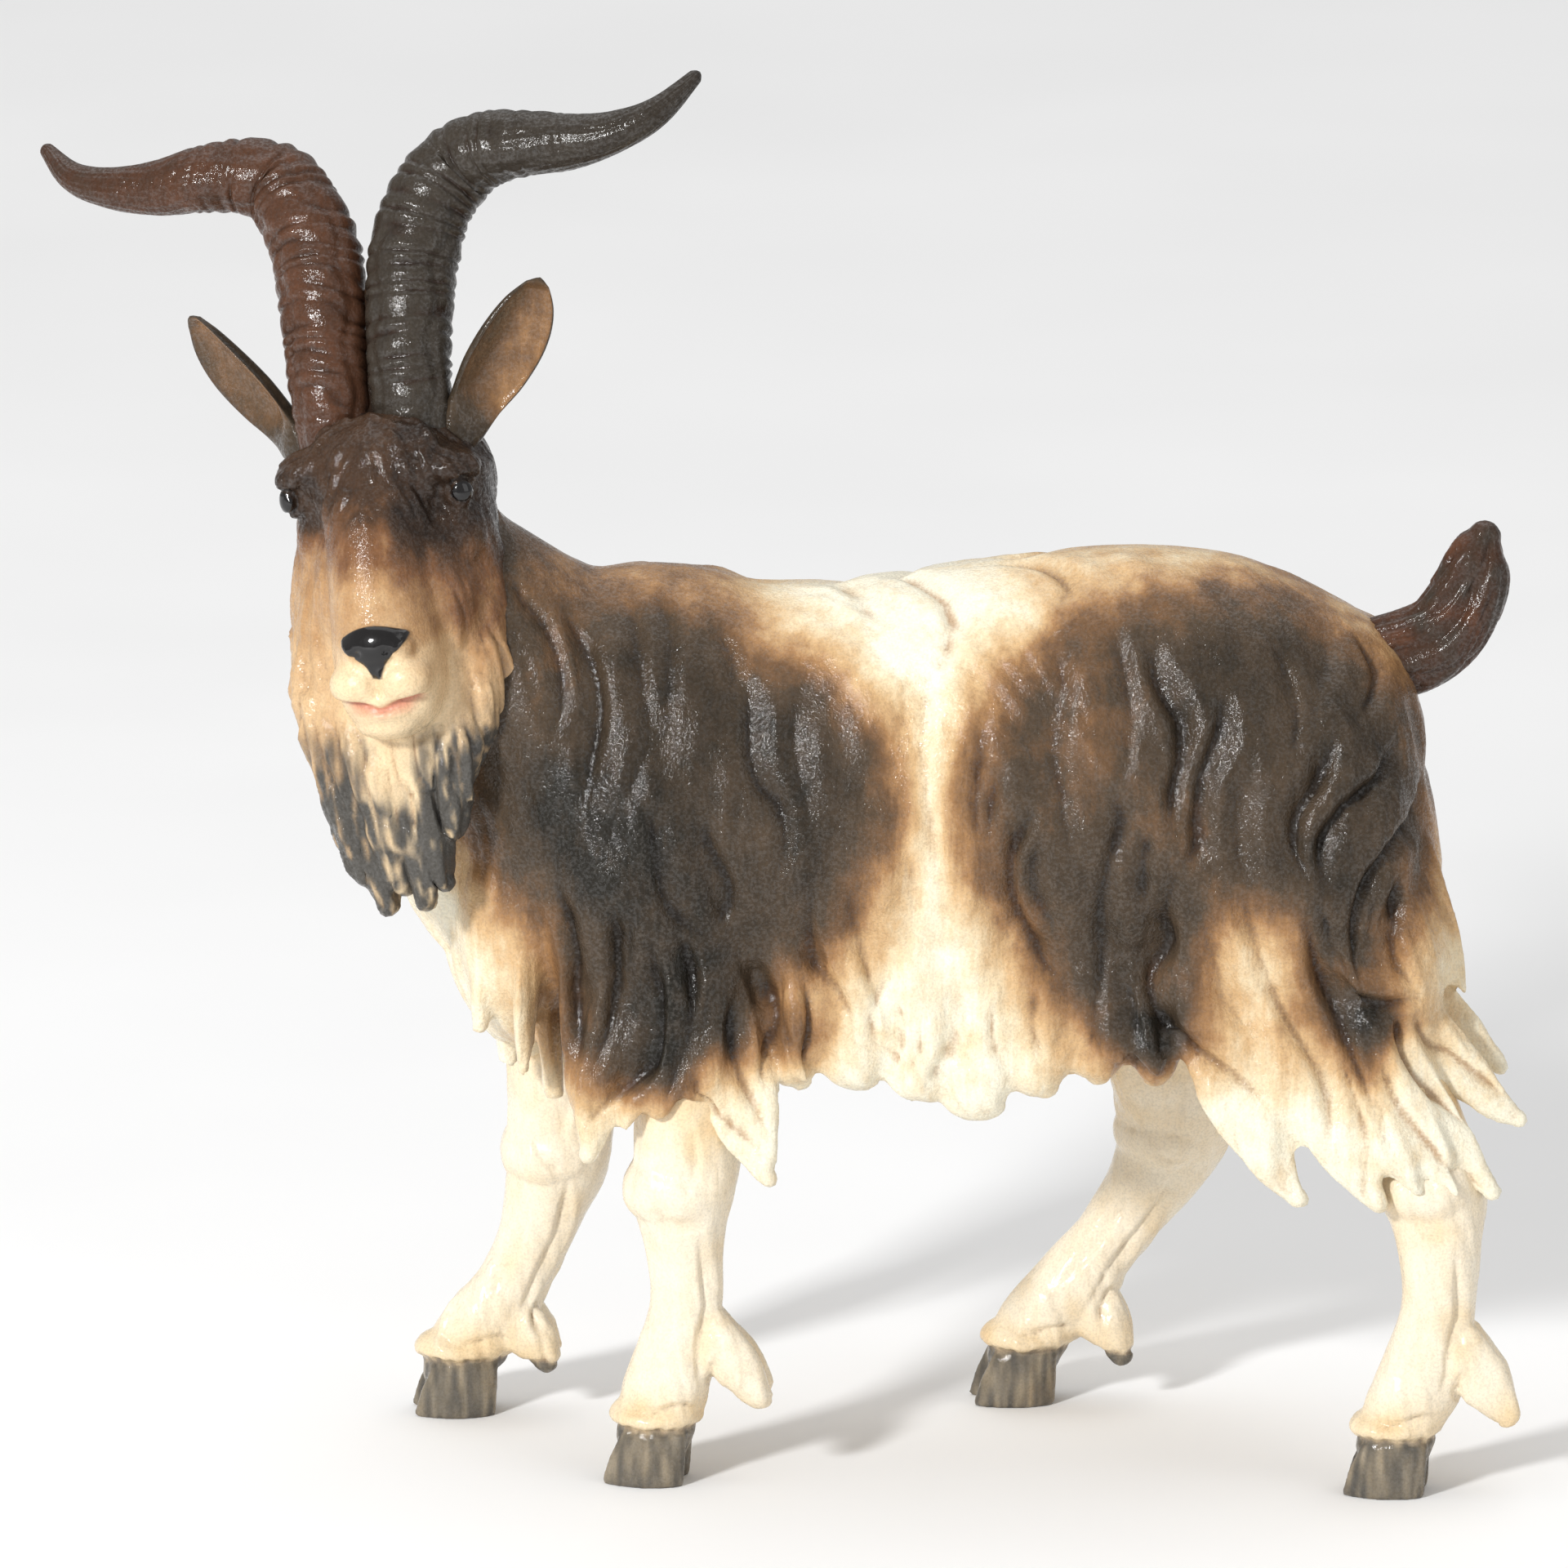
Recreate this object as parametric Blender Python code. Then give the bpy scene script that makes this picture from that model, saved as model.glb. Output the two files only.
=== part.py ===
"""Carved and painted wooden billy goat, a crib figure, as the pieces that its carver glues together.

The goat stands on the XY plane, faces -X and turns its head to its left, which is -Y.
Tables are in millimetres in the goat's own layout, where Y = 0 is its middle; MM turns them into metres.
The last step moves the whole goat so that the origin is the centre of its footprint's box.
"""

import math

import bmesh
import bpy
import numpy as np
from mathutils import Matrix, Vector

MM = 0.001

# Driving dimensions, in millimetres
GLUE_GAP = 0.35            # clearance round every glued root, dowel and tenon
SEAT_HEIGHT = 33.0         # where the flat tops of the legs meet the body
DOWEL_RADIUS = 1.5
DOWEL_HALF = 7.0           # how far a leg dowel goes into each of its two pieces
NECK_DOWEL_RADIUS = 2.4
NECK_DOWEL_HALF = 8.0
BEARD_GAP = 0.9            # the beard hangs this far clear of the chest
HORN_TENON = (1.5, 2.8)    # radius, length
EAR_TENON = (0.9, 1.8)
TAIL_TENON = (1.4, 4.5)

# The head turns to the goat's left and tips over a little; both turns are about the middle of the skull.
HEAD_CENTRE = (-31.3, -4.0, 79.4)
HEAD_YAW = math.radians(-18)
HEAD_ROLL = math.radians(-10)

# The flat joint across the neck: a point on the neck's axis, and the way from the body to the head.
NECK_JOINT = Vector((-26.6, -1.4, 68.6))
NECK_WAY = Vector((-0.62, -0.62, 0.48)).normalized()
NECK_JOINT_RADIUS = 19.0

# Paint: colour, roughness
PAINTS = {
    "coat": ((0.30, 0.21, 0.14), 0.45),
    "face": ((0.42, 0.28, 0.17), 0.45),
    "horn": ((0.07, 0.05, 0.04), 0.38),
    "ear": ((0.35, 0.22, 0.13), 0.45),
    "leg": ((0.80, 0.68, 0.50), 0.5),
    "beech": ((0.66, 0.47, 0.30), 0.7),
}

# The barrel of the body from chest to rump: x, height of the spine, height of the belly, half width.
BARREL = [
    (-25.5, 59.4, 39.4, 5.5),
    (-22.0, 66.4, 34.6, 9.5),
    (-17.0, 71.0, 33.4, 12.5),
    (-10.0, 72.8, 33.2, 14.0),
    (-2.0, 71.2, 33.8, 14.2),
    (8.0, 71.8, 34.0, 14.4),
    (18.0, 73.2, 34.0, 14.8),
    (28.5, 74.2, 34.2, 15.0),
    (37.0, 72.8, 34.6, 14.6),
    (44.0, 69.4, 37.4, 12.6),
    (48.8, 64.6, 41.0, 9.4),
    (51.2, 60.4, 45.0, 6.0),
    (52.0, 56.6, 49.0, 2.6),
]
BARREL_MIDDLE = 12.0

# The neck, from inside the chest to inside the skull: centre, half width, half depth.
NECK = [
    (-13.0, 0.0, 54.4, 12.5, 13.0),
    (-18.5, 0.0, 60.0, 11.8, 12.4),
    (-24.0, -0.8, 65.0, 10.4, 11.4),
    (-28.5, -2.2, 71.0, 9.0, 10.0),
    (-31.0, -3.4, 78.0, 8.0, 8.8),
]

# Each leg: its hoof's middle on the floor, the hoof's yaw in degrees, and its line from the top down
# (x and y from the hoof, z from the floor, half width, half depth). Dewclaws: root, tip, from the hoof.
LEGS = {
    "foreleg_left": (
        (-10.8, -10.2),
        -8.0,
        [
            (3.4, 0.6, 33.0, 4.3, 4.4),
            (3.3, 0.4, 27.0, 4.1, 4.2),
            (2.9, 0.2, 23.4, 3.8, 4.1),
            (3.1, 0.0, 19.2, 2.8, 3.1),
            (3.3, 0.0, 14.6, 2.6, 2.8),
            (2.6, 0.0, 10.4, 2.8, 3.2),
            (1.3, 0.0, 6.6, 2.9, 3.3),
            (0.6, 0.0, 3.6, 2.7, 3.0),
        ],
        ((4.3, 12.0), (9.2, 7.4)),
    ),
    "foreleg_right": (
        (-26.4, 10.2),
        4.0,
        [
            (8.6, -0.6, 33.0, 4.2, 4.4),
            (8.7, -0.4, 26.4, 4.1, 4.3),
            (8.5, 0.0, 21.2, 3.7, 4.1),
            (6.6, 0.0, 15.0, 2.7, 3.0),
            (4.8, 0.0, 10.8, 2.6, 2.8),
            (2.6, 0.0, 7.4, 2.9, 3.3),
            (0.8, 0.0, 5.0, 2.9, 3.1),
            (0.3, 0.0, 3.2, 2.6, 2.8),
        ],
        ((3.9, 8.6), (7.5, 4.6)),
    ),
    "hindleg_left": (
        (48.0, -13.6),
        -6.0,
        [
            (-1.2, 3.8, 33.0, 4.5, 5.2),
            (1.6, 2.4, 28.4, 4.3, 4.9),
            (3.8, 0.8, 24.0, 3.7, 4.3),
            (4.2, 0.0, 19.4, 2.9, 3.3),
            (4.1, 0.0, 15.0, 2.7, 3.0),
            (3.2, 0.0, 10.4, 2.9, 3.5),
            (1.5, 0.0, 6.6, 3.0, 3.3),
            (0.6, 0.0, 3.6, 2.7, 3.0),
        ],
        ((5.5, 11.6), (9.6, 6.8)),
    ),
    "hindleg_right": (
        (18.6, 13.4),
        6.0,
        [
            (11.8, -3.4, 33.0, 4.5, 5.4),
            (13.0, -2.2, 27.6, 4.3, 5.2),
            (12.9, -0.6, 22.2, 3.8, 4.5),
            (10.3, 0.0, 17.2, 2.9, 3.2),
            (7.4, 0.0, 13.0, 2.7, 2.9),
            (4.6, 0.0, 9.2, 2.9, 3.3),
            (1.8, 0.0, 6.0, 2.9, 3.2),
            (0.8, 0.0, 3.6, 2.7, 2.9),
        ],
        ((5.9, 8.4), (8.8, 4.2)),
    ),
}
HOOF_LENGTH, HOOF_HEIGHT, TOE_WIDTH, TOE_GAP = 6.6, 4.4, 2.7, 0.5

# The left horn, in the head's frame from the top of the skull: left, back, up, half depth, half width.
HORN = [
    (3.3, 0.1, 6.2, 2.8, 2.8),
    (3.4, 0.6, 8.6, 3.1, 3.0),
    (3.65, 2.4, 13.3, 3.3, 3.3),
    (4.25, 4.5, 17.8, 3.4, 3.45),
    (5.4, 6.2, 21.3, 3.4, 3.45),
    (7.5, 8.0, 23.8, 3.4, 3.35),
    (10.3, 7.9, 25.0, 3.1, 3.0),
    (13.9, 7.4, 25.2, 2.8, 2.6),
    (17.5, 7.5, 24.9, 2.4, 2.2),
    (21.4, 7.5, 25.3, 1.8, 1.65),
    (24.9, 8.4, 26.4, 1.3, 1.15),
    (28.0, 11.0, 28.7, 0.6, 0.6),
]

# The left ear, in the head's frame: left, back, up, half width, half thickness.
EAR = [
    (7.4, 0.8, 4.4, 1.4, 1.2),
    (8.6, 1.0, 6.0, 2.0, 1.15),
    (10.5, 1.4, 8.3, 2.5, 1.0),
    (12.7, 1.8, 10.9, 2.3, 0.85),
    (14.0, 2.2, 13.2, 1.6, 0.75),
    (14.9, 2.7, 15.0, 0.7, 0.6),
]

# The tail, from its root: back, up, half width, half thickness.
TAIL_ROOT = (46.6, 0.0, 64.6)
TAIL = [
    (0.0, 0.0, 2.5, 3.2),
    (3.4, 0.8, 2.7, 3.3),
    (6.2, 2.6, 2.7, 3.1),
    (8.0, 5.8, 2.5, 2.9),
    (8.5, 8.4, 2.1, 2.4),
    (9.3, 10.4, 0.9, 1.1),
]

# The muzzle and the beard, in the head's frame: left, back, up, half width, half depth.
MUZZLE = [
    (0.0, 0.5, 0.5, 7.2, 7.2),
    (0.0, -3.0, -4.5, 6.3, 6.6),
    (0.0, -6.4, -9.5, 4.9, 5.4),
    (0.0, -8.8, -12.6, 4.4, 4.9),
    (0.0, -10.2, -14.4, 4.2, 4.2),
]
BEARD = [
    (-1.0, -4.2, -14.9, 7.4, 4.4),
    (-1.6, -5.2, -19.4, 6.8, 3.9),
    (-1.6, -5.6, -24.0, 5.2, 3.0),
    (-1.2, -5.7, -28.4, 3.8, 2.3),
]

# Locks of hair that hang clear of the body, on the left side: root, tip (x, half breadth, z), width, thickness.
SIDE_LOCKS = [
    ((-16.6, 11.4, 45.4), (-16.4, 12.6, 32.6), 3.4, 2.0),
    ((-12.4, 12.6, 43.4), (-14.6, 14.2, 27.8), 4.6, 2.4),
    ((-6.2, 12.4, 41.4), (-9.6, 14.6, 30.2), 3.6, 1.8),
    ((-4.4, 12.8, 39.4), (-0.9, 14.6, 26.2), 4.4, 2.2),
    ((-1.2, 12.6, 39.4), (0.4, 14.0, 30.0), 3.0, 1.8),
    ((1.0, 12.6, 41.4), (1.9, 13.8, 34.8), 2.8, 1.8),
    ((25.0, 12.8, 41.4), (27.4, 14.0, 35.4), 3.4, 1.9),
    ((29.4, 13.0, 41.4), (29.6, 14.2, 35.6), 3.2, 1.9),
    ((33.0, 13.2, 43.4), (41.0, 15.2, 24.4), 5.2, 2.6),
    ((38.6, 13.4, 41.4), (47.4, 15.4, 24.4), 4.8, 2.5),
    ((44.0, 12.6, 41.4), (56.6, 14.6, 24.6), 4.8, 2.5),
    ((47.0, 10.0, 41.4), (59.0, 11.4, 29.8), 4.2, 2.4),
    ((48.4, 6.4, 42.4), (57.4, 7.2, 32.8), 4.0, 2.4),
    ((44.4, 11.4, 51.4), (45.6, 13.6, 40.0), 3.2, 1.8),
    ((47.0, 9.4, 51.4), (48.6, 11.8, 39.8), 3.0, 1.8),
    ((49.4, 6.4, 52.4), (53.2, 8.0, 39.6), 3.6, 2.2),
]
# On the right side no lock reaches further back than this.
RIGHT_LOCKS_END = 52.5
# Chest locks: root, tip, width, thickness.
CHEST_LOCKS = [
    ((-22.5, -5.5, 44.0), (-23.6, -6.6, 35.6), 3.8, 2.0),
    ((-20.0, -8.6, 42.0), (-20.4, -9.4, 32.4), 3.8, 2.0),
    ((-24.0, -1.5, 44.0), (-24.8, -1.8, 37.4), 3.8, 2.2),
    ((-21.5, 1.0, 40.0), (-21.8, 1.2, 31.2), 4.0, 2.4),
    ((-23.4, 4.0, 43.0), (-24.2, 4.8, 35.4), 3.6, 2.2),
    ((-18.4, -5.0, 40.0), (-18.2, -5.2, 30.6), 4.0, 2.4),
    ((-18.6, 6.0, 40.0), (-18.6, 6.8, 30.8), 4.0, 2.4),
]
# The scalloped hem of the belly: first and last x, how many locks, drop below the barrel.
HEM_FIRST, HEM_LAST, HEM_COUNT = 4.0, 23.5, 6
SKIRT_LOCKS = 8            # locks round the top of each leg


# Shapes


def interpolated(stations, steps):
    """Stations as an array with `steps` points between each pair, on a Catmull-Rom curve."""
    given = np.array(stations, float)
    padded = np.vstack([2 * given[0] - given[1], given, 2 * given[-1] - given[-2]])
    rows = []
    for i in range(1, len(padded) - 2):
        a, b, c, d = padded[i - 1 : i + 3]
        for t in np.arange(steps) / steps:
            rows.append(
                0.5 * (2 * b + (c - a) * t + (2 * a - 5 * b + 4 * c - d) * t**2
                       + (3 * b - a - 3 * c + d) * t**3)
            )
    rows.append(given[-1])
    return np.array(rows)


def add_rings(bm, rings):
    """A closed skin over rings of equal length, with a flat face on each end."""
    rows = [[bm.verts.new(Vector(p) * MM) for p in ring] for ring in rings]
    sides = len(rows[0])
    for low, high in zip(rows, rows[1:]):
        for i in range(sides):
            j = (i + 1) % sides
            bm.faces.new((low[i], low[j], high[j], high[i]))
    ends = [bm.faces.new(rows[0][::-1]), bm.faces.new(rows[-1])]
    bmesh.ops.triangulate(bm, faces=ends)


def add_limb(bm, stations, across, sides=16, steps=3, round_start=False, round_end=True, tenon=None):
    """A swept limb of elliptical section. across is the way its half width is measured."""
    rows = interpolated(stations, steps)
    points, halves = rows[:, :3], rows[:, 3:5]
    tangents = np.gradient(points, axis=0)
    tangents[0] = points[1] - points[0]
    tangents /= np.linalg.norm(tangents, axis=1)[:, None]
    angles = np.arange(sides) * 2 * math.pi / sides

    def ring(centre, tangent, half_width, half_depth):
        wide = np.array(across, float) - np.dot(across, tangent) * tangent
        wide /= np.linalg.norm(wide)
        deep = np.cross(tangent, wide)
        return [centre + wide * half_width * math.cos(a) + deep * half_depth * math.sin(a) for a in angles]

    def dome(centre, tangent, half, way):
        """Shrinking rings that round an end off."""
        lengths = (0.35, 0.65, 0.85, 0.96)
        shares = [math.sqrt(1 - s * s) for s in lengths]
        reach = min(half)
        made = [ring(centre + tangent * way * s * reach, tangent, *(half * k)) for s, k in zip(lengths, shares)]
        return made

    rings = [ring(p, t, *h) for p, t, h in zip(points, tangents, halves)]
    if round_start:
        rings = dome(points[0], tangents[0], halves[0], -1)[::-1] + rings
    if round_end:
        rings += dome(points[-1], tangents[-1], halves[-1], 1)
    if tenon:
        radius, length = tenon
        foot, way = points[0], tangents[0]
        rings = [ring(foot - way * length, way, radius, radius), ring(foot, way, radius, radius)] + rings
    add_rings(bm, rings)


def add_ball(bm, centre, radii, subdivisions=3):
    """An ellipsoid."""
    place = Matrix.Translation(Vector(centre) * MM) @ Matrix.Diagonal(Vector(radii) * MM).to_4x4()
    bmesh.ops.create_icosphere(bm, subdivisions=subdivisions, radius=1, matrix=place)


def add_lock(bm, root, tip, width, thickness, across):
    """One carved lock of hair: it swells below its root and narrows to a point that stands off a little."""
    start, end = Vector(root), Vector(tip)
    stations = []
    for share, size in ((0.0, 0.55), (0.3, 1.0), (0.65, 0.8), (0.88, 0.42), (1.0, 0.14)):
        centre = start.lerp(end, share)
        stations.append((*centre, width / 2 * size, thickness / 2 * (0.5 + size / 2)))
    add_limb(bm, stations, across, sides=8, steps=2, round_start=True)


# Objects


def paint(name):
    """The material of one paint, made once."""
    found = bpy.data.materials.get(name)
    if found:
        return found
    colour, roughness = PAINTS[name]
    material = bpy.data.materials.new(name)
    material.use_nodes = True
    shader = material.node_tree.nodes["Principled BSDF"]
    shader.inputs["Base Color"].default_value = (*colour, 1)
    shader.inputs["Roughness"].default_value = roughness
    shader.inputs["Metallic"].default_value = 0
    return material


def object_from(bm, name, paint_name, parent=None, at=(0, 0, 0), turn=(0, 0, 0)):
    """A scene object that holds the bmesh, at a place in millimetres and a turn in radians."""
    bmesh.ops.recalc_face_normals(bm, faces=bm.faces)
    mesh = bpy.data.meshes.new(name)
    bm.to_mesh(mesh)
    bm.free()
    mesh.materials.append(paint(paint_name))
    obj = bpy.data.objects.new(name, mesh)
    bpy.context.collection.objects.link(obj)
    obj.parent = parent
    obj.location = Vector(at) * MM
    obj.rotation_euler = turn
    bpy.context.view_layer.update()
    return obj


def apply_modifiers(obj):
    """Gives the object the mesh that its modifiers make."""
    graph = bpy.context.evaluated_depsgraph_get()
    mesh = bpy.data.meshes.new_from_object(obj.evaluated_get(graph))
    obj.modifiers.clear()
    obj.data = mesh
    bpy.context.view_layer.update()


def fuse(obj, voxel, smoothing, triangles):
    """Joins the overlapping shapes in an object into one skin, softens it and thins it to about that many faces."""
    remesh = obj.modifiers.new("fuse", "REMESH")
    remesh.mode = "VOXEL"
    remesh.voxel_size = voxel * MM
    soften = obj.modifiers.new("soften", "SMOOTH")
    soften.factor = 0.5
    soften.iterations = smoothing
    apply_modifiers(obj)
    thin = obj.modifiers.new("thin", "DECIMATE")
    thin.ratio = triangles / (2 * len(obj.data.polygons))
    apply_modifiers(obj)


def helper(obj):
    """Marks an object as a cutter."""
    obj.hide_render = True
    obj.display_type = "WIRE"
    return obj


def grown(obj, gap=GLUE_GAP):
    """A cutter: the object's shape, larger by a gap all round."""
    copy = bpy.data.objects.new(obj.name + "_clearance", obj.data.copy())
    bpy.context.collection.objects.link(copy)
    copy.parent = obj.parent
    copy.location = obj.location
    copy.rotation_euler = obj.rotation_euler
    swell = copy.modifiers.new("swell", "DISPLACE")
    swell.mid_level = 0
    swell.strength = gap * MM
    bpy.context.view_layer.update()
    return helper(copy)


def cylinder(name, paint_name, centre, way, radius, half_length, sides=20):
    """A round bar in world space, with its axis along way."""
    bm = bmesh.new()
    bmesh.ops.create_cone(
        bm, cap_ends=True, segments=sides, radius1=radius * MM, radius2=radius * MM, depth=2 * half_length * MM
    )
    turn = Vector(way).to_track_quat("Z", "Y").to_euler()
    return object_from(bm, name, paint_name, at=centre, turn=turn)


def cut(obj, cutter, operation="DIFFERENCE"):
    """A Boolean that stays on the object."""
    boolean = obj.modifiers.new(cutter.name, "BOOLEAN")
    boolean.operation = operation
    boolean.object = cutter
    boolean.solver = "EXACT"


def join_with_dowel(name, first, second, centre, way, radius, half_length):
    """A dowel half in each piece, each in its own bore."""
    dowel = cylinder(name, "beech", centre, way, radius, half_length)
    bore = helper(cylinder(name + "_bore", "beech", centre, way, radius + GLUE_GAP, half_length + GLUE_GAP))
    cut(first, bore)
    cut(second, bore)
    return dowel


# The goat's pieces


def add_neck(bm, stations):
    add_limb(bm, stations, across=(0, 1, 0), sides=24, round_start=True)


def add_leg_skirt(bm, x, y):
    """The hair round the top of a leg: a soft sleeve and a ring of locks that end below it."""
    inner_x = x + 0.15 * (BARREL_MIDDLE - x)
    sleeve = [(inner_x, y * 0.5, 53, 3.4, 3.6), (x, y * 0.84, 45, 5.2, 5.8), (x, y, 39, 5.4, 5.8), (x, y, 34.5, 4.8, 5.0)]
    add_limb(bm, sleeve, across=(0, 1, 0), round_start=True)
    for i in range(SKIRT_LOCKS):
        angle = 2 * math.pi * i / SKIRT_LOCKS
        out_x, out_y = math.cos(angle), math.sin(angle)
        end = 29.6 + 1.2 * math.sin(1.9 * i)
        root, tip = (x + 3.8 * out_x, y + 3.6 * out_y, 41.0), (x + 5.6 * out_x, y + 5.0 * out_y, end)
        add_lock(bm, root, tip, 4.2, 2.4, across=(-out_y, out_x, 0))


def torso():
    """Barrel, neck, shoulders, thighs and the locks of the coat, carved from one block."""
    bm = bmesh.new()
    barrel = [(x, 0, (top + belly) / 2, wide, (top - belly) / 2) for x, top, belly, wide in BARREL]
    add_limb(bm, barrel, across=(0, 1, 0), sides=28, round_start=True, round_end=False)
    add_neck(bm, NECK)
    add_ball(bm, (-20.5, 0, 45.0), (6.5, 10.0, 12.0))
    for side in (-1, 1):
        add_ball(bm, (-10.0, side * 8.6, 49.4), (9.5, 6.2, 16.0))
        add_ball(bm, (38.6, side * 8.4, 49.4), (12.0, 7.0, 16.5))
        for (x, breadth, z), (tip_x, tip_breadth, tip_z), width, thickness in SIDE_LOCKS:
            if side > 0:
                tip_x = min(tip_x, RIGHT_LOCKS_END)
            add_lock(
                bm, (x, side * (breadth - 1.2), z), (tip_x, side * (tip_breadth - 1.0), tip_z),
                width, thickness, across=(1, 0, 0),
            )
        for i in range(HEM_COUNT):
            x = HEM_FIRST + (HEM_LAST - HEM_FIRST) * i / (HEM_COUNT - 1)
            drop = 33.9 + 0.7 * math.sin(2.3 * i)
            add_lock(bm, (x, side * 10.6, 42), (x + 1.6, side * 11.2, drop), 5.0, 3.0, across=(1, 0, 0))
    for root, tip, width, thickness in CHEST_LOCKS:
        add_lock(bm, root, tip, width, thickness, across=(0.5, 1, 0))
    for hoof, _, line, _ in LEGS.values():
        add_leg_skirt(bm, hoof[0] + line[0][0], hoof[1] + line[0][1])
    obj = object_from(bm, "torso", "coat")
    fuse(obj, voxel=0.6, smoothing=4, triangles=4600)
    return obj


def head_frame():
    """The empty that carries the head and what is glued into it."""
    frame = bpy.data.objects.new("head_frame", None)
    bpy.context.collection.objects.link(frame)
    frame.location = Vector(HEAD_CENTRE) * MM
    frame.rotation_euler = (Matrix.Rotation(HEAD_YAW, 3, "Z") @ Matrix.Rotation(HEAD_ROLL, 3, "Y")).to_euler()
    bpy.context.view_layer.update()
    return frame


def head(frame):
    """Skull, muzzle, cheek hair, beard and the stub of the neck, carved from one block."""
    bm = bmesh.new()
    add_ball(bm, (0, 0.6, 0.9), (8.2, 8.6, 7.8))
    add_limb(bm, MUZZLE, across=(1, 0, 0), sides=20, round_start=True)
    add_ball(bm, (0, -10.2, -17.0), (3.0, 2.6, 2.2))
    add_ball(bm, (-0.3, -1.2, -10.6), (9.8, 6.4, 11.2))
    add_limb(bm, BEARD, across=(1, 0, 0), round_start=True)
    for side in (-1, 1):
        add_ball(bm, (side * 5.8, -3.2, 2.8), (2.6, 2.4, 1.7))
        add_ball(bm, (side * 6.0, -2.0, -0.8), (2.4, 3.2, 3.2))
        add_lock(bm, (side * 2.2 - 1.4, -5.6, -24), (side * 2.2 - 1.0, -5.8, -33.0), 3.8, 2.8, across=(1, 0, 0))
        add_lock(bm, (side * 4.4 - 1.4, -4.6, -17), (side * 4.6 - 1.4, -4.8, -27.0), 4.4, 2.8, across=(1, 0, 0))
    neck = bmesh.new()
    add_neck(neck, NECK[1:])
    neck.transform(frame.matrix_world.inverted())
    stub = bpy.data.meshes.new("neck_stub")
    neck.to_mesh(stub)
    neck.free()
    bm.from_mesh(stub)
    obj = object_from(bm, "head", "face", parent=frame)
    fuse(obj, voxel=0.55, smoothing=4, triangles=2600)
    return obj


def split_neck(body, skull):
    """Cuts the flat faces of the neck joint, and clears the chest of the beard."""
    reach = 16.0
    above = helper(cylinder(
        "neck_above", "beech", NECK_JOINT + NECK_WAY * reach, NECK_WAY, NECK_JOINT_RADIUS, reach, sides=32,
    ))
    below = helper(cylinder(
        "neck_below", "beech", NECK_JOINT - NECK_WAY * (reach - GLUE_GAP), NECK_WAY, NECK_JOINT_RADIUS, reach,
        sides=32,
    ))
    cut(skull, below)
    apply_modifiers(skull)
    cut(body, above)
    clearance = grown(skull, BEARD_GAP)
    fuse(clearance, voxel=0.6, smoothing=1, triangles=1800)
    cut(body, helper(clearance))
    return join_with_dowel(
        "neck_dowel", body, skull, NECK_JOINT + NECK_WAY * GLUE_GAP / 2, NECK_WAY, NECK_DOWEL_RADIUS, NECK_DOWEL_HALF
    )


def mirrored(stations, side):
    """Head-frame stations of the left piece, with +Y pointing back, for either side."""
    return [(side * left, back, up, *halves) for left, back, up, *halves in stations]


def horn(name, frame, side):
    """A horn with the round tenon that glues it into the skull."""
    bm = bmesh.new()
    add_limb(bm, mirrored(HORN, side), across=(0, 1, 0), sides=12, steps=2, tenon=HORN_TENON)
    return object_from(bm, name, "horn", parent=frame)


def ear(name, frame, side):
    """A leaf-shaped ear with its tenon."""
    bm = bmesh.new()
    add_limb(bm, mirrored(EAR, side), across=(side * 0.6, -0.75, -0.3), sides=10, steps=2, tenon=EAR_TENON)
    return object_from(bm, name, "ear", parent=frame)


def tail():
    """The short raised tail with its tenon."""
    bm = bmesh.new()
    add_limb(bm, [(back, 0, up, *halves) for back, up, *halves in TAIL], across=(0, 1, 0), sides=12, steps=2, tenon=TAIL_TENON)
    return object_from(bm, "tail", "horn", at=TAIL_ROOT)


def add_toe(bm, side):
    """One half of a cloven hoof, flat on the floor, with its point towards -X."""
    rings = []
    outline = np.arange(14) * 2 * math.pi / 14
    for height, length, width, back in ((0.0, 1.0, 1.0, 0.0), (2.2, 0.93, 0.96, 0.35), (HOOF_HEIGHT, 0.74, 0.8, 0.9)):
        ring = []
        for a in outline:
            x = -math.cos(a) * HOOF_LENGTH / 2 * length
            blunt = 1 - 0.25 * max(0.0, math.cos(a))
            y = math.sin(a) * TOE_WIDTH / 2 * width * blunt + side * (TOE_WIDTH + TOE_GAP) / 2
            ring.append((x + back, y, height))
        rings.append(ring)
    add_rings(bm, rings)


def leg(name):
    """A leg with a cloven hoof and two dewclaws, from the floor to its flat top."""
    (hoof_x, hoof_y), yaw, line, (claw_root, claw_tip) = LEGS[name]
    bm = bmesh.new()
    add_limb(bm, line, across=(0, 1, 0), sides=12, steps=2, round_end=False)
    obj = object_from(bm, name, "leg", at=(hoof_x, hoof_y, 0))
    for side in (-1, 1):
        toe = bmesh.new()
        add_toe(toe, side)
        turned = (0, 0, math.radians(yaw))
        cut(obj, helper(object_from(toe, f"{name}_toe_{side}", "leg", at=(hoof_x, hoof_y, 0), turn=turned)), "UNION")
        claw = bmesh.new()
        (root_x, root_z), (tip_x, tip_z) = claw_root, claw_tip
        middle = ((root_x + tip_x) / 2 + 0.4, side * 1.6, (root_z + tip_z) / 2, 1.3, 1.9)
        add_limb(
            claw, [(root_x, side * 1.0, root_z, 1.5, 2.6), middle, (tip_x, side * 1.9, tip_z, 0.9, 1.0)],
            (0, 1, 0), sides=8, steps=2, round_start=True,
        )
        cut(obj, helper(object_from(claw, f"{name}_claw_{side}", "leg", at=(hoof_x, hoof_y, 0))), "UNION")
    apply_modifiers(obj)
    return obj


def clear_scene():
    for obj in list(bpy.data.objects):
        bpy.data.objects.remove(obj)


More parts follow.
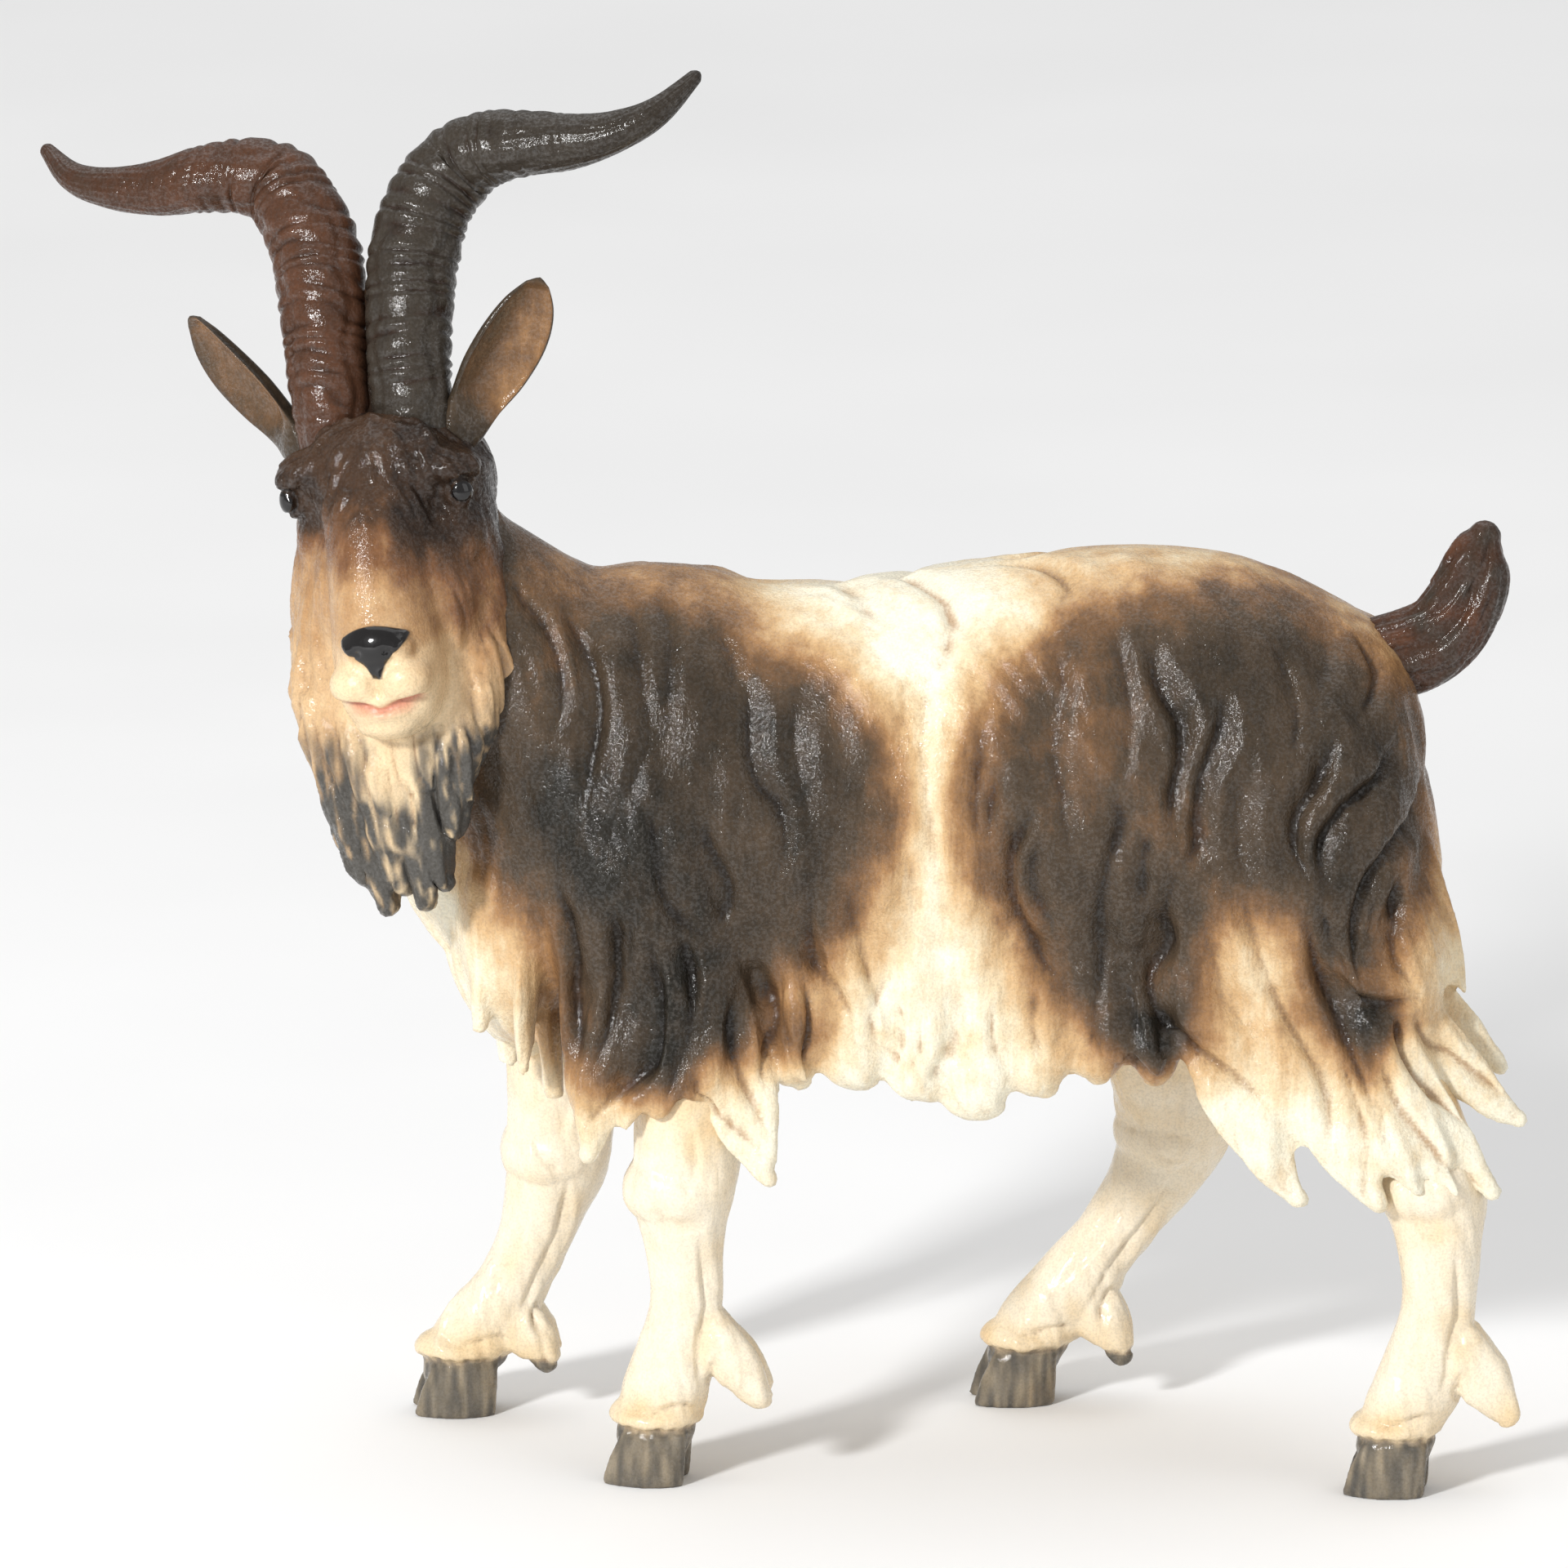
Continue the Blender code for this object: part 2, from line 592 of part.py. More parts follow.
def centre_on_footprint(pieces):
    """Moves the goat so that the origin is the bottom centre of its box."""
    graph = bpy.context.evaluated_depsgraph_get()
    points = []
    for obj in pieces:
        evaluated = obj.evaluated_get(graph)
        mesh = evaluated.to_mesh()
        points += [evaluated.matrix_world @ vertex.co for vertex in mesh.vertices]
        evaluated.to_mesh_clear()
    low = Vector([min(p[i] for p in points) for i in range(3)])
    high = Vector([max(p[i] for p in points) for i in range(3)])
    shift = Vector((-(low.x + high.x) / 2, -(low.y + high.y) / 2, -low.z))
    for obj in bpy.data.objects:
        if obj.parent is None:
            obj.location += shift
    bpy.context.view_layer.update()


def main():
    clear_scene()
    body = torso()
    frame = head_frame()
    skull = head(frame)
    pieces = [body, skull, split_neck(body, skull)]
    for side, word in ((1, "left"), (-1, "right")):
        for piece in (horn("horn_" + word, frame, side), ear("ear_" + word, frame, side)):
            cut(skull, grown(piece))
            pieces.append(piece)
    pieces.append(tail())
    cut(body, grown(pieces[-1]))
    for name, ((hoof_x, hoof_y), _, line, _) in LEGS.items():
        piece = leg(name)
        cut(body, grown(piece))
        top = (hoof_x + line[0][0], hoof_y + line[0][1], SEAT_HEIGHT + GLUE_GAP / 2)
        pieces.append(piece)
        pieces.append(join_with_dowel(name + "_dowel", body, piece, top, (0, 0, 1), DOWEL_RADIUS, DOWEL_HALF))
    for obj in pieces:
        obj.data.shade_smooth()
        obj.data.set_sharp_from_angle(angle=math.radians(40))
    centre_on_footprint(pieces)


main()
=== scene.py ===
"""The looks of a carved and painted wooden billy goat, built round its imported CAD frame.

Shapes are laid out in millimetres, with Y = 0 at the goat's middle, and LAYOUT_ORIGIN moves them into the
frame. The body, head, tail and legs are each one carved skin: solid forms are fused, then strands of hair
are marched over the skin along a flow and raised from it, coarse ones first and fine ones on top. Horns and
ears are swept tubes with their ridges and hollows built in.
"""

import math
import random

import bmesh
import bpy
import numpy as np
from mathutils import Matrix, Vector, noise
from mathutils.bvhtree import BVHTree
from mathutils.kdtree import KDTree


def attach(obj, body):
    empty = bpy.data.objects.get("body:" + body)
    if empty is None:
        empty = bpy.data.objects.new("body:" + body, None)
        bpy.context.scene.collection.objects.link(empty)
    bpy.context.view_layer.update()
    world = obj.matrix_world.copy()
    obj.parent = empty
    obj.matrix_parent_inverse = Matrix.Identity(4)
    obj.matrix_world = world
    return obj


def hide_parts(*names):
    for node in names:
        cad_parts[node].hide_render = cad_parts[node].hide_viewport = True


MM = 0.001
LAYOUT_ORIGIN = np.array((0.344, 0.734, 0.0))

# The head's own frame: x to the goat's left, y back, z up.
HEAD_CENTRE = Vector((-31.3, -4.0, 79.4))
HEAD_TURN = Matrix.Rotation(math.radians(-18), 4, "Z") @ Matrix.Rotation(math.radians(-10), 4, "Y")
HEAD_PLACE = Matrix.Translation(HEAD_CENTRE) @ HEAD_TURN

# Body, from chest to rump: x, height of the spine, height of the belly, half width.
BARREL = [
    (-25.5, 59.4, 39.4, 5.5), (-22, 66.4, 34.6, 9.5), (-17, 71, 33.4, 12.5), (-10, 72.8, 33.2, 14),
    (-2, 71.2, 33.8, 14.2), (8, 71.8, 34, 14.4), (18, 73.2, 34, 14.8), (28.5, 74.2, 34.2, 15),
    (37, 72.8, 34.6, 14.6), (44, 69.4, 37.4, 12.6), (48.8, 64.6, 41, 9.4), (51.2, 60.4, 45, 6),
    (52, 56.6, 49, 2.6),
]
# Neck, up into the head: x, y, z, half width, half depth.
NECK = [
    (-13, 0, 54.4, 12.5, 13), (-18.5, 0, 60, 11.8, 12.4), (-24, -0.8, 65, 10.4, 11.4),
    (-28.5, -2.2, 71, 8.8, 9.6), (-31, -3.4, 77, 7, 7.8),
]
# The height that the hair falls from.
SPINE_HEIGHT = 74.0

# Legs: hoof's middle, hoof's yaw, line from the top down, dewclaw's root and tip. All from the hoof.
LEGS = {
    "foreleg_left": (
        (-10.8, -10.2), -8, [
            (3.4, 0.6, 34, 4.3, 4.4), (3.3, 0.4, 27, 4.1, 4.2), (2.9, 0.2, 23.4, 3.8, 4.1),
            (3.1, 0, 19.2, 2.8, 3.1), (3.3, 0, 14.6, 2.6, 2.8), (2.6, 0, 10.4, 2.8, 3.2),
            (1.3, 0, 6.6, 2.9, 3.3), (0.6, 0, 3.6, 2.7, 3),
        ],
        ((4.3, 12), (9.2, 7.4)),
    ),
    "foreleg_right": (
        (-26.4, 10.2), 4, [
            (8.6, -0.6, 34, 4.2, 4.4), (8.7, -0.4, 26.4, 4.1, 4.3), (8.5, 0, 21.2, 3.7, 4.1),
            (6.6, 0, 15, 2.7, 3), (4.8, 0, 10.8, 2.6, 2.8), (2.6, 0, 7.4, 2.9, 3.3),
            (0.8, 0, 5, 2.9, 3.1), (0.3, 0, 3.2, 2.6, 2.8),
        ],
        ((3.9, 8.6), (7.5, 4.6)),
    ),
    "hindleg_left": (
        (48, -13.6), -6, [
            (-1.2, 4.6, 34, 4.3, 5.2), (1.6, 3.4, 28.4, 4.1, 4.9), (3.8, 1.8, 24, 3.6, 4.3),
            (4.2, 0.7, 19.4, 2.9, 3.3), (4.1, 0.2, 15, 2.7, 3), (3.2, 0, 10.4, 2.9, 3.5),
            (1.5, 0, 6.6, 3, 3.3), (0.6, 0, 3.6, 2.7, 3),
        ],
        ((5.5, 11.6), (9.6, 6.8)),
    ),
    "hindleg_right": (
        (18.6, 13.4), 6, [
            (11.8, -3.4, 34, 4.5, 5.4), (13, -2.2, 27.6, 4.3, 5.2), (12.9, -0.6, 22.2, 3.8, 4.5),
            (10.3, 0, 17.2, 2.9, 3.2), (7.4, 0, 13, 2.7, 2.9), (4.6, 0, 9.2, 2.9, 3.3),
            (1.8, 0, 6, 2.9, 3.2), (0.8, 0, 3.6, 2.7, 2.9),
        ],
        ((5.9, 8.4), (8.8, 4.2)),
    ),
}
HOOF_LENGTH, HOOF_HEIGHT, TOE_WIDTH, TOE_GAP = 6.6, 4.6, 2.9, 0.4

# Horn in the head's frame: left, back, up, half depth, half width.
HORN = [
    (3.3, -0.2, 3.4, 2.8, 3), (3.4, 0.6, 8.6, 3.1, 3.3), (3.6, 2.4, 13.3, 3.3, 3.45),
    (4.05, 4.5, 17.8, 3.4, 3.65), (5.3, 6.2, 21.3, 3.4, 3.5), (7.5, 8, 23.8, 3.4, 3.35),
    (10.3, 7.9, 25, 3.1, 3), (13.9, 7.4, 25.2, 2.8, 2.6), (17.5, 7.5, 24.9, 2.4, 2.2),
    (21.4, 7.5, 25.3, 1.8, 1.65), (24.9, 8.4, 26.4, 1.3, 1.15), (28, 11, 28.7, 0.5, 0.5),
]
# Ear in the head's frame: left, back, up, half width, half thickness.
EAR = [
    (5.4, 0.6, 2.4, 1.7, 1.5), (8.2, 1, 5.8, 2.2, 1.6), (10.3, 1.4, 8.3, 2.8, 1.7),
    (12.4, 1.8, 10.9, 2.8, 1.5), (13.9, 2.2, 13.2, 2.1, 1.1), (14.9, 2.7, 15.2, 0.6, 0.5),
]
# Which way each ear is broad. Here 1 is the left side and -1 the right one.
EAR_ACROSS = {1: (0.58, 0.57, -0.555), -1: (-0.56, 0.60, -0.57)}
# The nose pad in the head's frame: its middle, then its outline from there as height and half width.
NOSE_X, NOSE_Z = 1.8, -10.1
NOSE_PAD = [
    (-2.4, 0.44), (-1.9, 0.5), (-1.2, 0.82), (-0.6, 1.5), (0, 2.3), (0.5, 2.75), (0.9, 2.8), (1.3, 2.5),
    (1.9, 1.4),
]
EYE_RADIUS = 1.4
EYE_CENTRES = {-1: Vector((-5.9, -4.4, 0.8)), 1: Vector((7.7, -4.3, 0.2))}

# Points round a horn and an ear, the rings of a horn, and the angles of the furrows along it.
HORN_SIDES, EAR_SIDES = 72, 48
RING_SPACING, RING_HEIGHT = 1.35, 0.36
HORN_FURROWS = (1.2, 2.5, 4.1, 5.3)

# Tail, from its root: back, up, half width, half depth.
TAIL_ROOT = (46.6, 0.0, 64.6)
TAIL = [
    (-1, -0.4, 2.5, 3.2), (3.4, 0.8, 2.7, 3.3), (6.2, 2.6, 2.7, 3.1), (8, 5.8, 2.5, 2.9),
    (8.5, 8.4, 2.1, 2.4), (9.2, 10.2, 1, 1.1),
]
# The furrow along each side of the tail: back and up from the root.
TAIL_FURROW = [(3.0, 1.6), (6.0, 3.0), (8.0, 6.0), (8.7, 9.0)]

# Locks that hang free, on the left side: root, tip (x, half breadth, z), width, thickness.
SIDE_LOCKS = [
    ((-16, 11.4, 46), (-16.2, 12.6, 31.4), 4.8, 2.4), ((-12.4, 12.6, 45), (-15.4, 14, 27.6), 6, 3),
    ((-9.6, 12.6, 44.4), (-12.4, 14.3, 29.8), 4.6, 2.6), ((-5.4, 12.8, 43), (-5.2, 14.6, 31.4), 4, 2.4),
    ((-4.4, 12.8, 41.4), (-0.9, 14.6, 25.8), 6.6, 2.8), ((0.6, 12.6, 42.4), (2, 13.8, 33.6), 3.8, 2.4),
    ((25, 12.8, 42.4), (27, 14, 35), 4.6, 2.4), ((29, 13, 43.4), (29.8, 14.2, 34.2), 4.6, 2.6),
    ((32.6, 13.2, 45.4), (41, 15.2, 24.4), 7, 3), ((38.4, 13.4, 43.4), (47.4, 16, 24.2), 6.8, 3.4),
    ((43, 12.6, 42.4), (50.4, 16.7, 25.4), 6.4, 3.6), ((45.6, 12.6, 41.4), (53.4, 16.2, 25), 6.4, 3.4),
    ((44, 12.6, 42.4), (56.4, 14.6, 24.8), 6.6, 2.8), ((47, 10, 41.4), (58.6, 11.4, 29.8), 5.2, 2.6),
    ((48, 6.4, 42.4), (57.2, 7.2, 33), 5.2, 2.6), ((44.4, 11.8, 52.4), (45.6, 14.6, 40.4), 4.6, 3),
    ((47, 9.8, 52.4), (48.8, 13.2, 40.2), 4.6, 3), ((49, 6.4, 54), (54.2, 8.4, 39.6), 5.6, 3.2),
]
# No lock of the right side reaches further back than this x.
RIGHT_LOCKS_END = 52.5
# Locks of the chest: root, tip, width, thickness.
CHEST_LOCKS = [
    ((-22.5, -5.5, 46), (-24, -6.6, 36), 3.8, 2.2), ((-20, -8.6, 44), (-20.6, -9.6, 33.4), 4.2, 2.2),
    ((-24, -1.5, 46), (-25, -1.8, 38), 3.8, 2.4), ((-21.5, 1, 42), (-21.8, 1.2, 31.6), 4.2, 2.6),
    ((-23.4, 4, 44), (-24.2, 4.8, 36), 3.8, 2.4), ((-18.4, -5, 41), (-18.2, -5.6, 30.6), 4.4, 2.6),
    ((-18.6, 6, 41), (-18.6, 6.8, 30.8), 4.2, 2.6),
]
# Scallops under the belly: x, lowest height, width.
HEM = [
    (0.2, 34.6, 6.6), (5, 34.2, 7.6), (10, 33.2, 7.8), (14.6, 32.2, 8), (19.4, 33.6, 7.8),
    (24.2, 34.8, 7.4), (29, 35, 6.6),
]
# Locks round the top of each leg.
SKIRT_LOCKS = 9

# The side is seen from a little above, so a point's height on it is z less this share of its distance
# from the middle.
SIDE_VIEW_SLOPE = 0.25
# Grooves cut into the coat, seen from the side: x and height, on both flanks.
DEEP_CUTS = [
    [(-18.4, 46), (-17.4, 42), (-16.7, 37.6), (-16.3, 31.6)],
    [(-13.5, 44), (-13.3, 40.6), (-13.5, 36), (-15, 31.3)],
    [(-10.3, 42.6), (-9.9, 38.6), (-9.8, 35.3), (-10.4, 31.6), (-12.5, 29.3), (-15.6, 26.6)],
    [(-7.7, 42.3), (-6.9, 39), (-7, 35), (-8, 31.3), (-9.3, 28)],
    [(-2.2, 39), (-1.2, 36), (-1.2, 32.6), (-1.5, 29.3)],
    [(1.7, 38.6), (2.5, 35.6), (2.2, 32.3), (2.7, 31.6)],
    [(9.1, 40.6), (7.8, 36.6), (7.5, 33.6), (9.1, 30.6)],
    [(20.3, 52.6), (18.7, 49.6), (18.1, 47), (18.8, 43.6), (20.9, 40), (22.5, 38.6)],
    [(28.7, 66.6), (29.3, 63.6), (30.3, 61.3), (31.4, 59.3), (31.3, 56), (30.6, 52.6), (31, 49.3)],
    [(34.7, 62), (34.4, 58.6), (33.1, 55.3), (32.7, 52), (32.6, 49.3), (31.3, 47.3)],
    [(31.3, 47.3), (30.5, 44.3), (30.6, 41.3), (29.5, 39), (30, 36.3), (31.9, 33.3), (35.2, 31.3),
     (39, 28.3)],
    [(20.3, 37.6), (19.8, 34.6), (20.9, 31.8)], [(24.6, 37.6), (24.5, 34.6), (23.5, 32.6)],
    [(13.2, 38.3), (13.7, 35), (13.3, 32.6), (11.6, 29.6)], [(9, 37.3), (9.5, 33.6), (8.3, 30.3)],
    [(43.9, 58.3), (42.8, 55), (40.9, 51.7), (40.7, 48.8), (42.1, 46.6)],
    [(48.5, 58), (47.4, 55), (44.6, 52.5), (42.6, 49.1), (42.9, 44.4)],
    [(51, 55.4), (50.1, 51.7), (47.8, 48.4), (46, 45.1), (45.5, 41.1), (46, 37.4)],
    [(49.4, 46.6), (48.7, 43.3), (48.8, 40.3), (50.6, 37.4)],
    [(43.9, 37.8), (46, 36.8), (48.5, 36.5), (51, 37.2)],
    [(41.4, 43.6), (42.4, 39.2), (43.9, 35.6), (46, 30), (48, 24.5)],
    [(48.8, 36.3), (49.6, 32.6), (52.4, 28.9), (55.6, 25.8)],
]
MIDDLE_CUTS = [
    [(-21.3, 72), (-20, 69.6), (-18.4, 67.3), (-17.4, 64.6), (-17.2, 61.6), (-17.7, 58.6)],
    [(-16.9, 68.8), (-15.6, 66.3), (-14.7, 63.6), (-14.3, 60), (-15.1, 56), (-15.4, 52)],
    [(-3.5, 65), (-2.8, 61.6), (-2.5, 56.3), (-1.7, 54), (-0.2, 52.3), (0.2, 49.3), (-0.6, 46.6)],
    [(-10.8, 53), (-10.3, 50.6), (-9.9, 47.6), (-9, 44.3), (-7, 42.3), (-5.1, 42)],
    [(-5.9, 51.3), (-5.6, 49.3), (-4.1, 46), (-4.3, 43.6), (-5.1, 42.6)],
    [(-11.6, 44), (-12.2, 40.6), (-11.9, 36), (-13.2, 31.3)],
    [(-5.1, 38.3), (-6.4, 34.6), (-7.4, 31.3), (-6.4, 28.3), (-3.8, 26), (-0.9, 24)],
    [(-3.5, 37.3), (-3.8, 34.3), (-3.5, 31), (-2.2, 28.3), (-0.8, 25.3)],
    [(0.1, 39), (-0.6, 36.6), (0.1, 33.6), (1.5, 31.6)],
    [(2.7, 47.3), (2.3, 44), (2.7, 40.6), (4.3, 37.6), (5.9, 35), (6.4, 32.3)],
    [(8.3, 72), (9.9, 71.8), (11.9, 70.6), (13, 69.3), (13.2, 66.6), (11.9, 63.3)],
    [(17.4, 72.8), (19.3, 72.9), (21.3, 72.3), (22.4, 71), (21.9, 69.3)],
    [(16.4, 61.3), (15.8, 57.3), (15.4, 53.3), (15.6, 49.3), (16.1, 45.6), (17.7, 42.3), (20, 39.6),
     (21.9, 38.3), (24, 38)],
    [(17.4, 56), (16.5, 52.6), (16.5, 49.6), (17.4, 46), (18, 44.3)],
    [(20.4, 50.6), (19.5, 47), (20, 44.6), (21.3, 42.6)],
    [(26.1, 55.3), (26.6, 51.3), (25.6, 47.3), (25.1, 43.3), (25.3, 40), (25.1, 36.6), (25.6, 33.6)],
    [(29, 50.6), (28.7, 47.3), (29, 44)], [(27.4, 38.6), (27.7, 36), (28.7, 33)],
    [(22.5, 37.8), (22.7, 35), (21.4, 32.3)], [(17.4, 37.6), (16.6, 33.6), (17.7, 31.6)],
    [(10.9, 36.6), (11.1, 33.3), (9.9, 30.3)], [(14.5, 36.6), (14.8, 33.6), (14.1, 30.3)],
    [(38.9, 66.4), (40.1, 63.8), (40.8, 61.3), (40.6, 58.7), (39.9, 56.1)],
    [(45.6, 66.8), (47.1, 64.2), (46.9, 62), (45.6, 60.2)], [(47.6, 45.8), (47.1, 41.8), (47.8, 37.8)],
    [(43, 44.4), (43.7, 40.7), (45.6, 37.6)],
    [(37.1, 40), (39.9, 35.2), (42.6, 30.8), (43.2, 27.1), (42.4, 23.1)],
    [(43.9, 32.6), (45.3, 28.2), (46, 23.8)], [(50.3, 36.3), (51.7, 33.7), (55.3, 31), (57.6, 29.3)],
    [(47.1, 33.7), (48.8, 28.6), (52.1, 24.5), (55.6, 21.2)], [(46, 34.8), (47.1, 29.7), (48.2, 25.3)],
]
SOFT_CUTS = [
    [(-13.2, 71.6), (-12, 68.3), (-11.5, 65), (-10.6, 58.6), (-11.9, 54.6), (-13.5, 50.6)],
    [(-10.4, 71.3), (-9.3, 68.6), (-8.8, 66), (-9, 62), (-9.6, 57.3)],
    [(-5.1, 68), (-3.8, 65), (-3.5, 61.6), (-3.2, 57.3)],
    [(1.4, 63.3), (0.9, 58.6), (1.4, 54.6), (2.3, 50.6), (2, 46)],
    [(4.9, 46), (5.6, 42.6), (6.9, 39.3), (6.9, 36)],
    [(9.1, 62), (8.8, 57.3), (9.1, 52.6), (10.4, 46), (10.4, 41)],
    [(11.7, 64), (11.1, 58.6), (11.7, 50.6), (13, 43.3)],
    [(4, 71.6), (5.6, 70.6), (6.7, 69.3), (6.9, 67.3)],
    [(9.9, 63.3), (9.3, 58.6), (9.6, 52.6), (10.9, 46.6)],
    [(21.6, 67.6), (22.2, 62.6), (21.6, 57.3), (22.2, 52.6), (22.9, 47.3)],
    [(26.1, 67.6), (27.1, 63.3), (27.4, 58.6), (27.1, 54.6)], [(33.2, 42.6), (34.5, 38), (37.1, 34)],
    [(36.5, 46), (37.1, 41.3), (39, 36.6)], [(38.7, 65.3), (40.3, 62.6), (40.7, 59.3), (40, 56)],
    [(43, 67.9), (43.5, 65), (42.4, 61.3), (41.7, 57.6)], [(36, 55.4), (35.7, 50.3), (36.4, 45.1)],
]
# Each kind of groove with its half width and depth.
CUTS = ((DEEP_CUTS, 1.2, 1.35), (MIDDLE_CUTS, 1.0, 0.85), (SOFT_CUTS, 1.6, 0.62))

# Paint patches of the coat, seen from the side: x and height, on both flanks.
SHOULDER_PATCH = [
    (-23, 81), (-20, 77), (-17, 74.5), (-13, 74), (-7, 72.5), (-4.5, 69), (0, 65), (4, 62), (8, 58.5),
    (9, 53), (8.5, 48), (6.5, 44), (3.5, 40.5), (0, 38), (-4, 35.5), (-8, 33), (-12, 29), (-15.5, 28),
    (-17.4, 35), (-19, 42), (-21.5, 46), (-25, 51), (-28, 59), (-34, 65), (-38, 72), (-38, 84),
]
RUMP_PATCH = [
    (22, 67.5), (28.5, 70), (35, 70.3), (42, 69), (47, 66), (51, 61), (52, 56), (51.6, 50), (50.6, 44.5),
    (47.6, 41), (43, 41.5), (39, 43.6), (35, 43), (31.6, 38.4), (29.6, 31.5), (25.6, 33.6), (21.6, 39),
    (16, 45.8), (14.4, 52), (15.2, 58.5), (17.4, 63),
]

# Paint streaks and painted shadows over the patches, seen from the side: x, height, reach in x and in
# height, change of tone. The dark spots under the locks and in the gaps between them are painted shadow.
TONE_STREAKS_AND_SHADOWS = [
    (-13, 70.5, 9, 3.6, -0.2), (-19, 64, 4, 8, -0.12), (43.5, 38.5, 2.4, 4.6, 0.3),
    (46.8, 35.4, 4.2, 2, 0.5), (29.8, 34, 2.4, 2.4, 0.45), (-8.8, 30, 2, 5, 0.5), (24.6, 60, 4, 9, -0.14),
    (-4.6, 35, 4, 4, 0.25), (1.4, 33.6, 3, 2.6, 0.45), (37, 41.6, 5, 3.6, -0.09), (33, 50, 4, 5, -0.12),
    (-3, 52, 3, 7, -0.08), (-14, 51, 4.5, 9, 0.14), (-13, 31, 4, 3, 0.12), (20, 38, 5, 3, 0.12),
    (46.3, 32.6, 2, 5.6, 0.45), (38, 35, 6, 7, 0.13), (20, 57, 4, 9, -0.1), (28, 54, 5, 8, -0.1),
    (12.2, 57, 3.2, 13, -0.22), (-17.5, 52, 3, 6, 0.16), (-12, 49, 4, 6, 0.1),
]

# Limbs of the head in its own frame: left, back, up and two half sizes. The web stands between the horns.
HORN_WEB = [(0.2, 0.4, 4, 1.6, 0.9), (0.2, 2.4, 11, 1.6, 0.7), (0.2, 4, 16, 1.2, 0.5)]
MASK = [
    (0.8, 0.6, 2, 8.2, 7.6), (0.6, 0, -2, 8.2, 7), (0.3, -0.8, -6, 8.6, 6.6), (0, -1.6, -10.5, 9.1, 6.2),
    (-0.4, -2.8, -15, 8.9, 5.6), (-0.9, -3.8, -18.5, 7.7, 5), (-1.4, -4.6, -22, 6, 4.2),
    (-1.8, -5.2, -25.5, 4.4, 3.2),
]
MUZZLE = [
    (0.9, -0.8, 2.4, 4.2, 4), (1, -2, 1.4, 5.8, 5.6), (1.1, -3.4, -0.6, 5.2, 6), (1.2, -5.6, -4, 4.6, 6.2),
    (1.3, -7.4, -8, 4.6, 5.9), (1.3, -8.6, -11.6, 4.7, 5.2), (1.3, -9.2, -14, 4.5, 4.3),
]
# Locks over the forehead.
FORELOCKS = 9
# Beard locks in the head's frame: root x, z, tip x, z, width, sway.
BEARD_LOCKS = [
    (-7, -15, -6.2, -25.6, 3.4, 0.7), (-5.4, -18, -4.6, -29.6, 3.4, -0.6),
    (-3.6, -21, -3.4, -32, 3.2, 0.5), (-1.6, -20, -1.6, -30.6, 3, -0.4), (0.2, -19, -0.2, -32, 3.2, 0.5),
    (1.8, -17.5, 1.7, -30.6, 3, -0.5), (3.6, -16, 3.2, -26.6, 3.2, 0.4), (5.4, -13, 5.2, -22, 3.2, -0.4),
    (-2.2, -17, -1, -25.5, 3.2, 0.6), (1.2, -17, 0.4, -24.5, 3, -0.5),
]

# Colours, linear
TAN = (0.58, 0.345, 0.155)
RUST = (0.235, 0.100, 0.038)
GREY = (0.075, 0.070, 0.062)
BLACK = (0.006, 0.005, 0.005)
PINK = (0.55, 0.20, 0.13)
IVORY = (0.89, 0.80, 0.64)
# Lighter ochre for the ridge tops: dry-brushed paint and painted highlight.
DRY_BRUSH_HIGHLIGHT_OCHRE = (0.62, 0.47, 0.32)
WASH_BROWN = (0.40, 0.21, 0.085)
WASH_BLACK = (0.008, 0.005, 0.004)
DARK_WASHES = [(0.45, (0.05, 0.02, 0.009)), (0.8, (0.006, 0.004, 0.003))]

# Paints, from the lightest tone, 0, to the darkest, 1.
FACE_STOPS = [
    (0.0, (0.80, 0.62, 0.39)), (0.2, (0.66, 0.46, 0.26)), (0.42, (0.44, 0.255, 0.12)),
    (0.62, (0.19, 0.088, 0.040)), (0.8, (0.064, 0.034, 0.019)), (1.0, (0.022, 0.014, 0.010)),
]
COAT_STOPS = [
    (0.0, (0.90, 0.84, 0.67)), (0.13, (0.79, 0.64, 0.42)), (0.27, (0.62, 0.41, 0.21)),
    (0.42, (0.36, 0.195, 0.085)), (0.57, (0.165, 0.088, 0.042)), (0.73, (0.074, 0.050, 0.031)),
    (1.0, (0.017, 0.0145, 0.0105)),
]
HORN_STOPS = [
    (0.0, (0.15, 0.06, 0.03)), (0.35, (0.060, 0.028, 0.016)), (0.6, (0.046, 0.037, 0.028)),
    (1.0, (0.016, 0.012, 0.009)),
]
LEG_STOPS = [(0.0, IVORY), (0.35, (0.80, 0.62, 0.38)), (0.7, TAN), (1.0, RUST)]
BEECH_STOPS = [(0.3, (0.50, 0.31, 0.17)), (0.7, (0.68, 0.48, 0.30))]
FLOOR_STOPS = [(0.3, (0.90, 0.90, 0.90)), (0.7, (0.93, 0.93, 0.93))]
# Paints on top of those: field, colour, and the field's values where the paint starts and covers.
FACE_EXTRAS = [
    ("grey", GREY, 0, 1), ("pink", PINK, 0, 1), ("nose", BLACK, -0.08, 0.08), ("eye", BLACK, -0.08, 0.08),
]
HOOF_EXTRAS = [("hoof", GREY, 0, 1)]

# Lights of the room, in metres and watts: place, size and power.
LIGHTS = {
    "key": ((-0.44, -0.62, 0.42), (0.10, 0.10), 6.2),
    "fill": ((0.65, -0.5, 0.35), (0.5, 0.5), 0.8),
    "top": ((0.1, 0.5, 1.7), (2.2, 2.2), 15.0),
}
LIGHTS_TARGET = Vector((0, 0, 0.055))
SKY_STRENGTH = 0.42
# Rings of the floor: first and last radius, and how many.
FLOOR_RINGS = (0.05, 6.0, 14)
FLOOR_SIDES = 96
# Camera: what it looks at, degrees above the floor, distance in metres, focal length in millimetres.
CAMERA_TARGET = Vector((0.54, 0.73, 54.5)) * MM
CAMERA_ELEVATION = 14
CAMERA_DISTANCE = 1.7325
CAMERA_LENS = 500

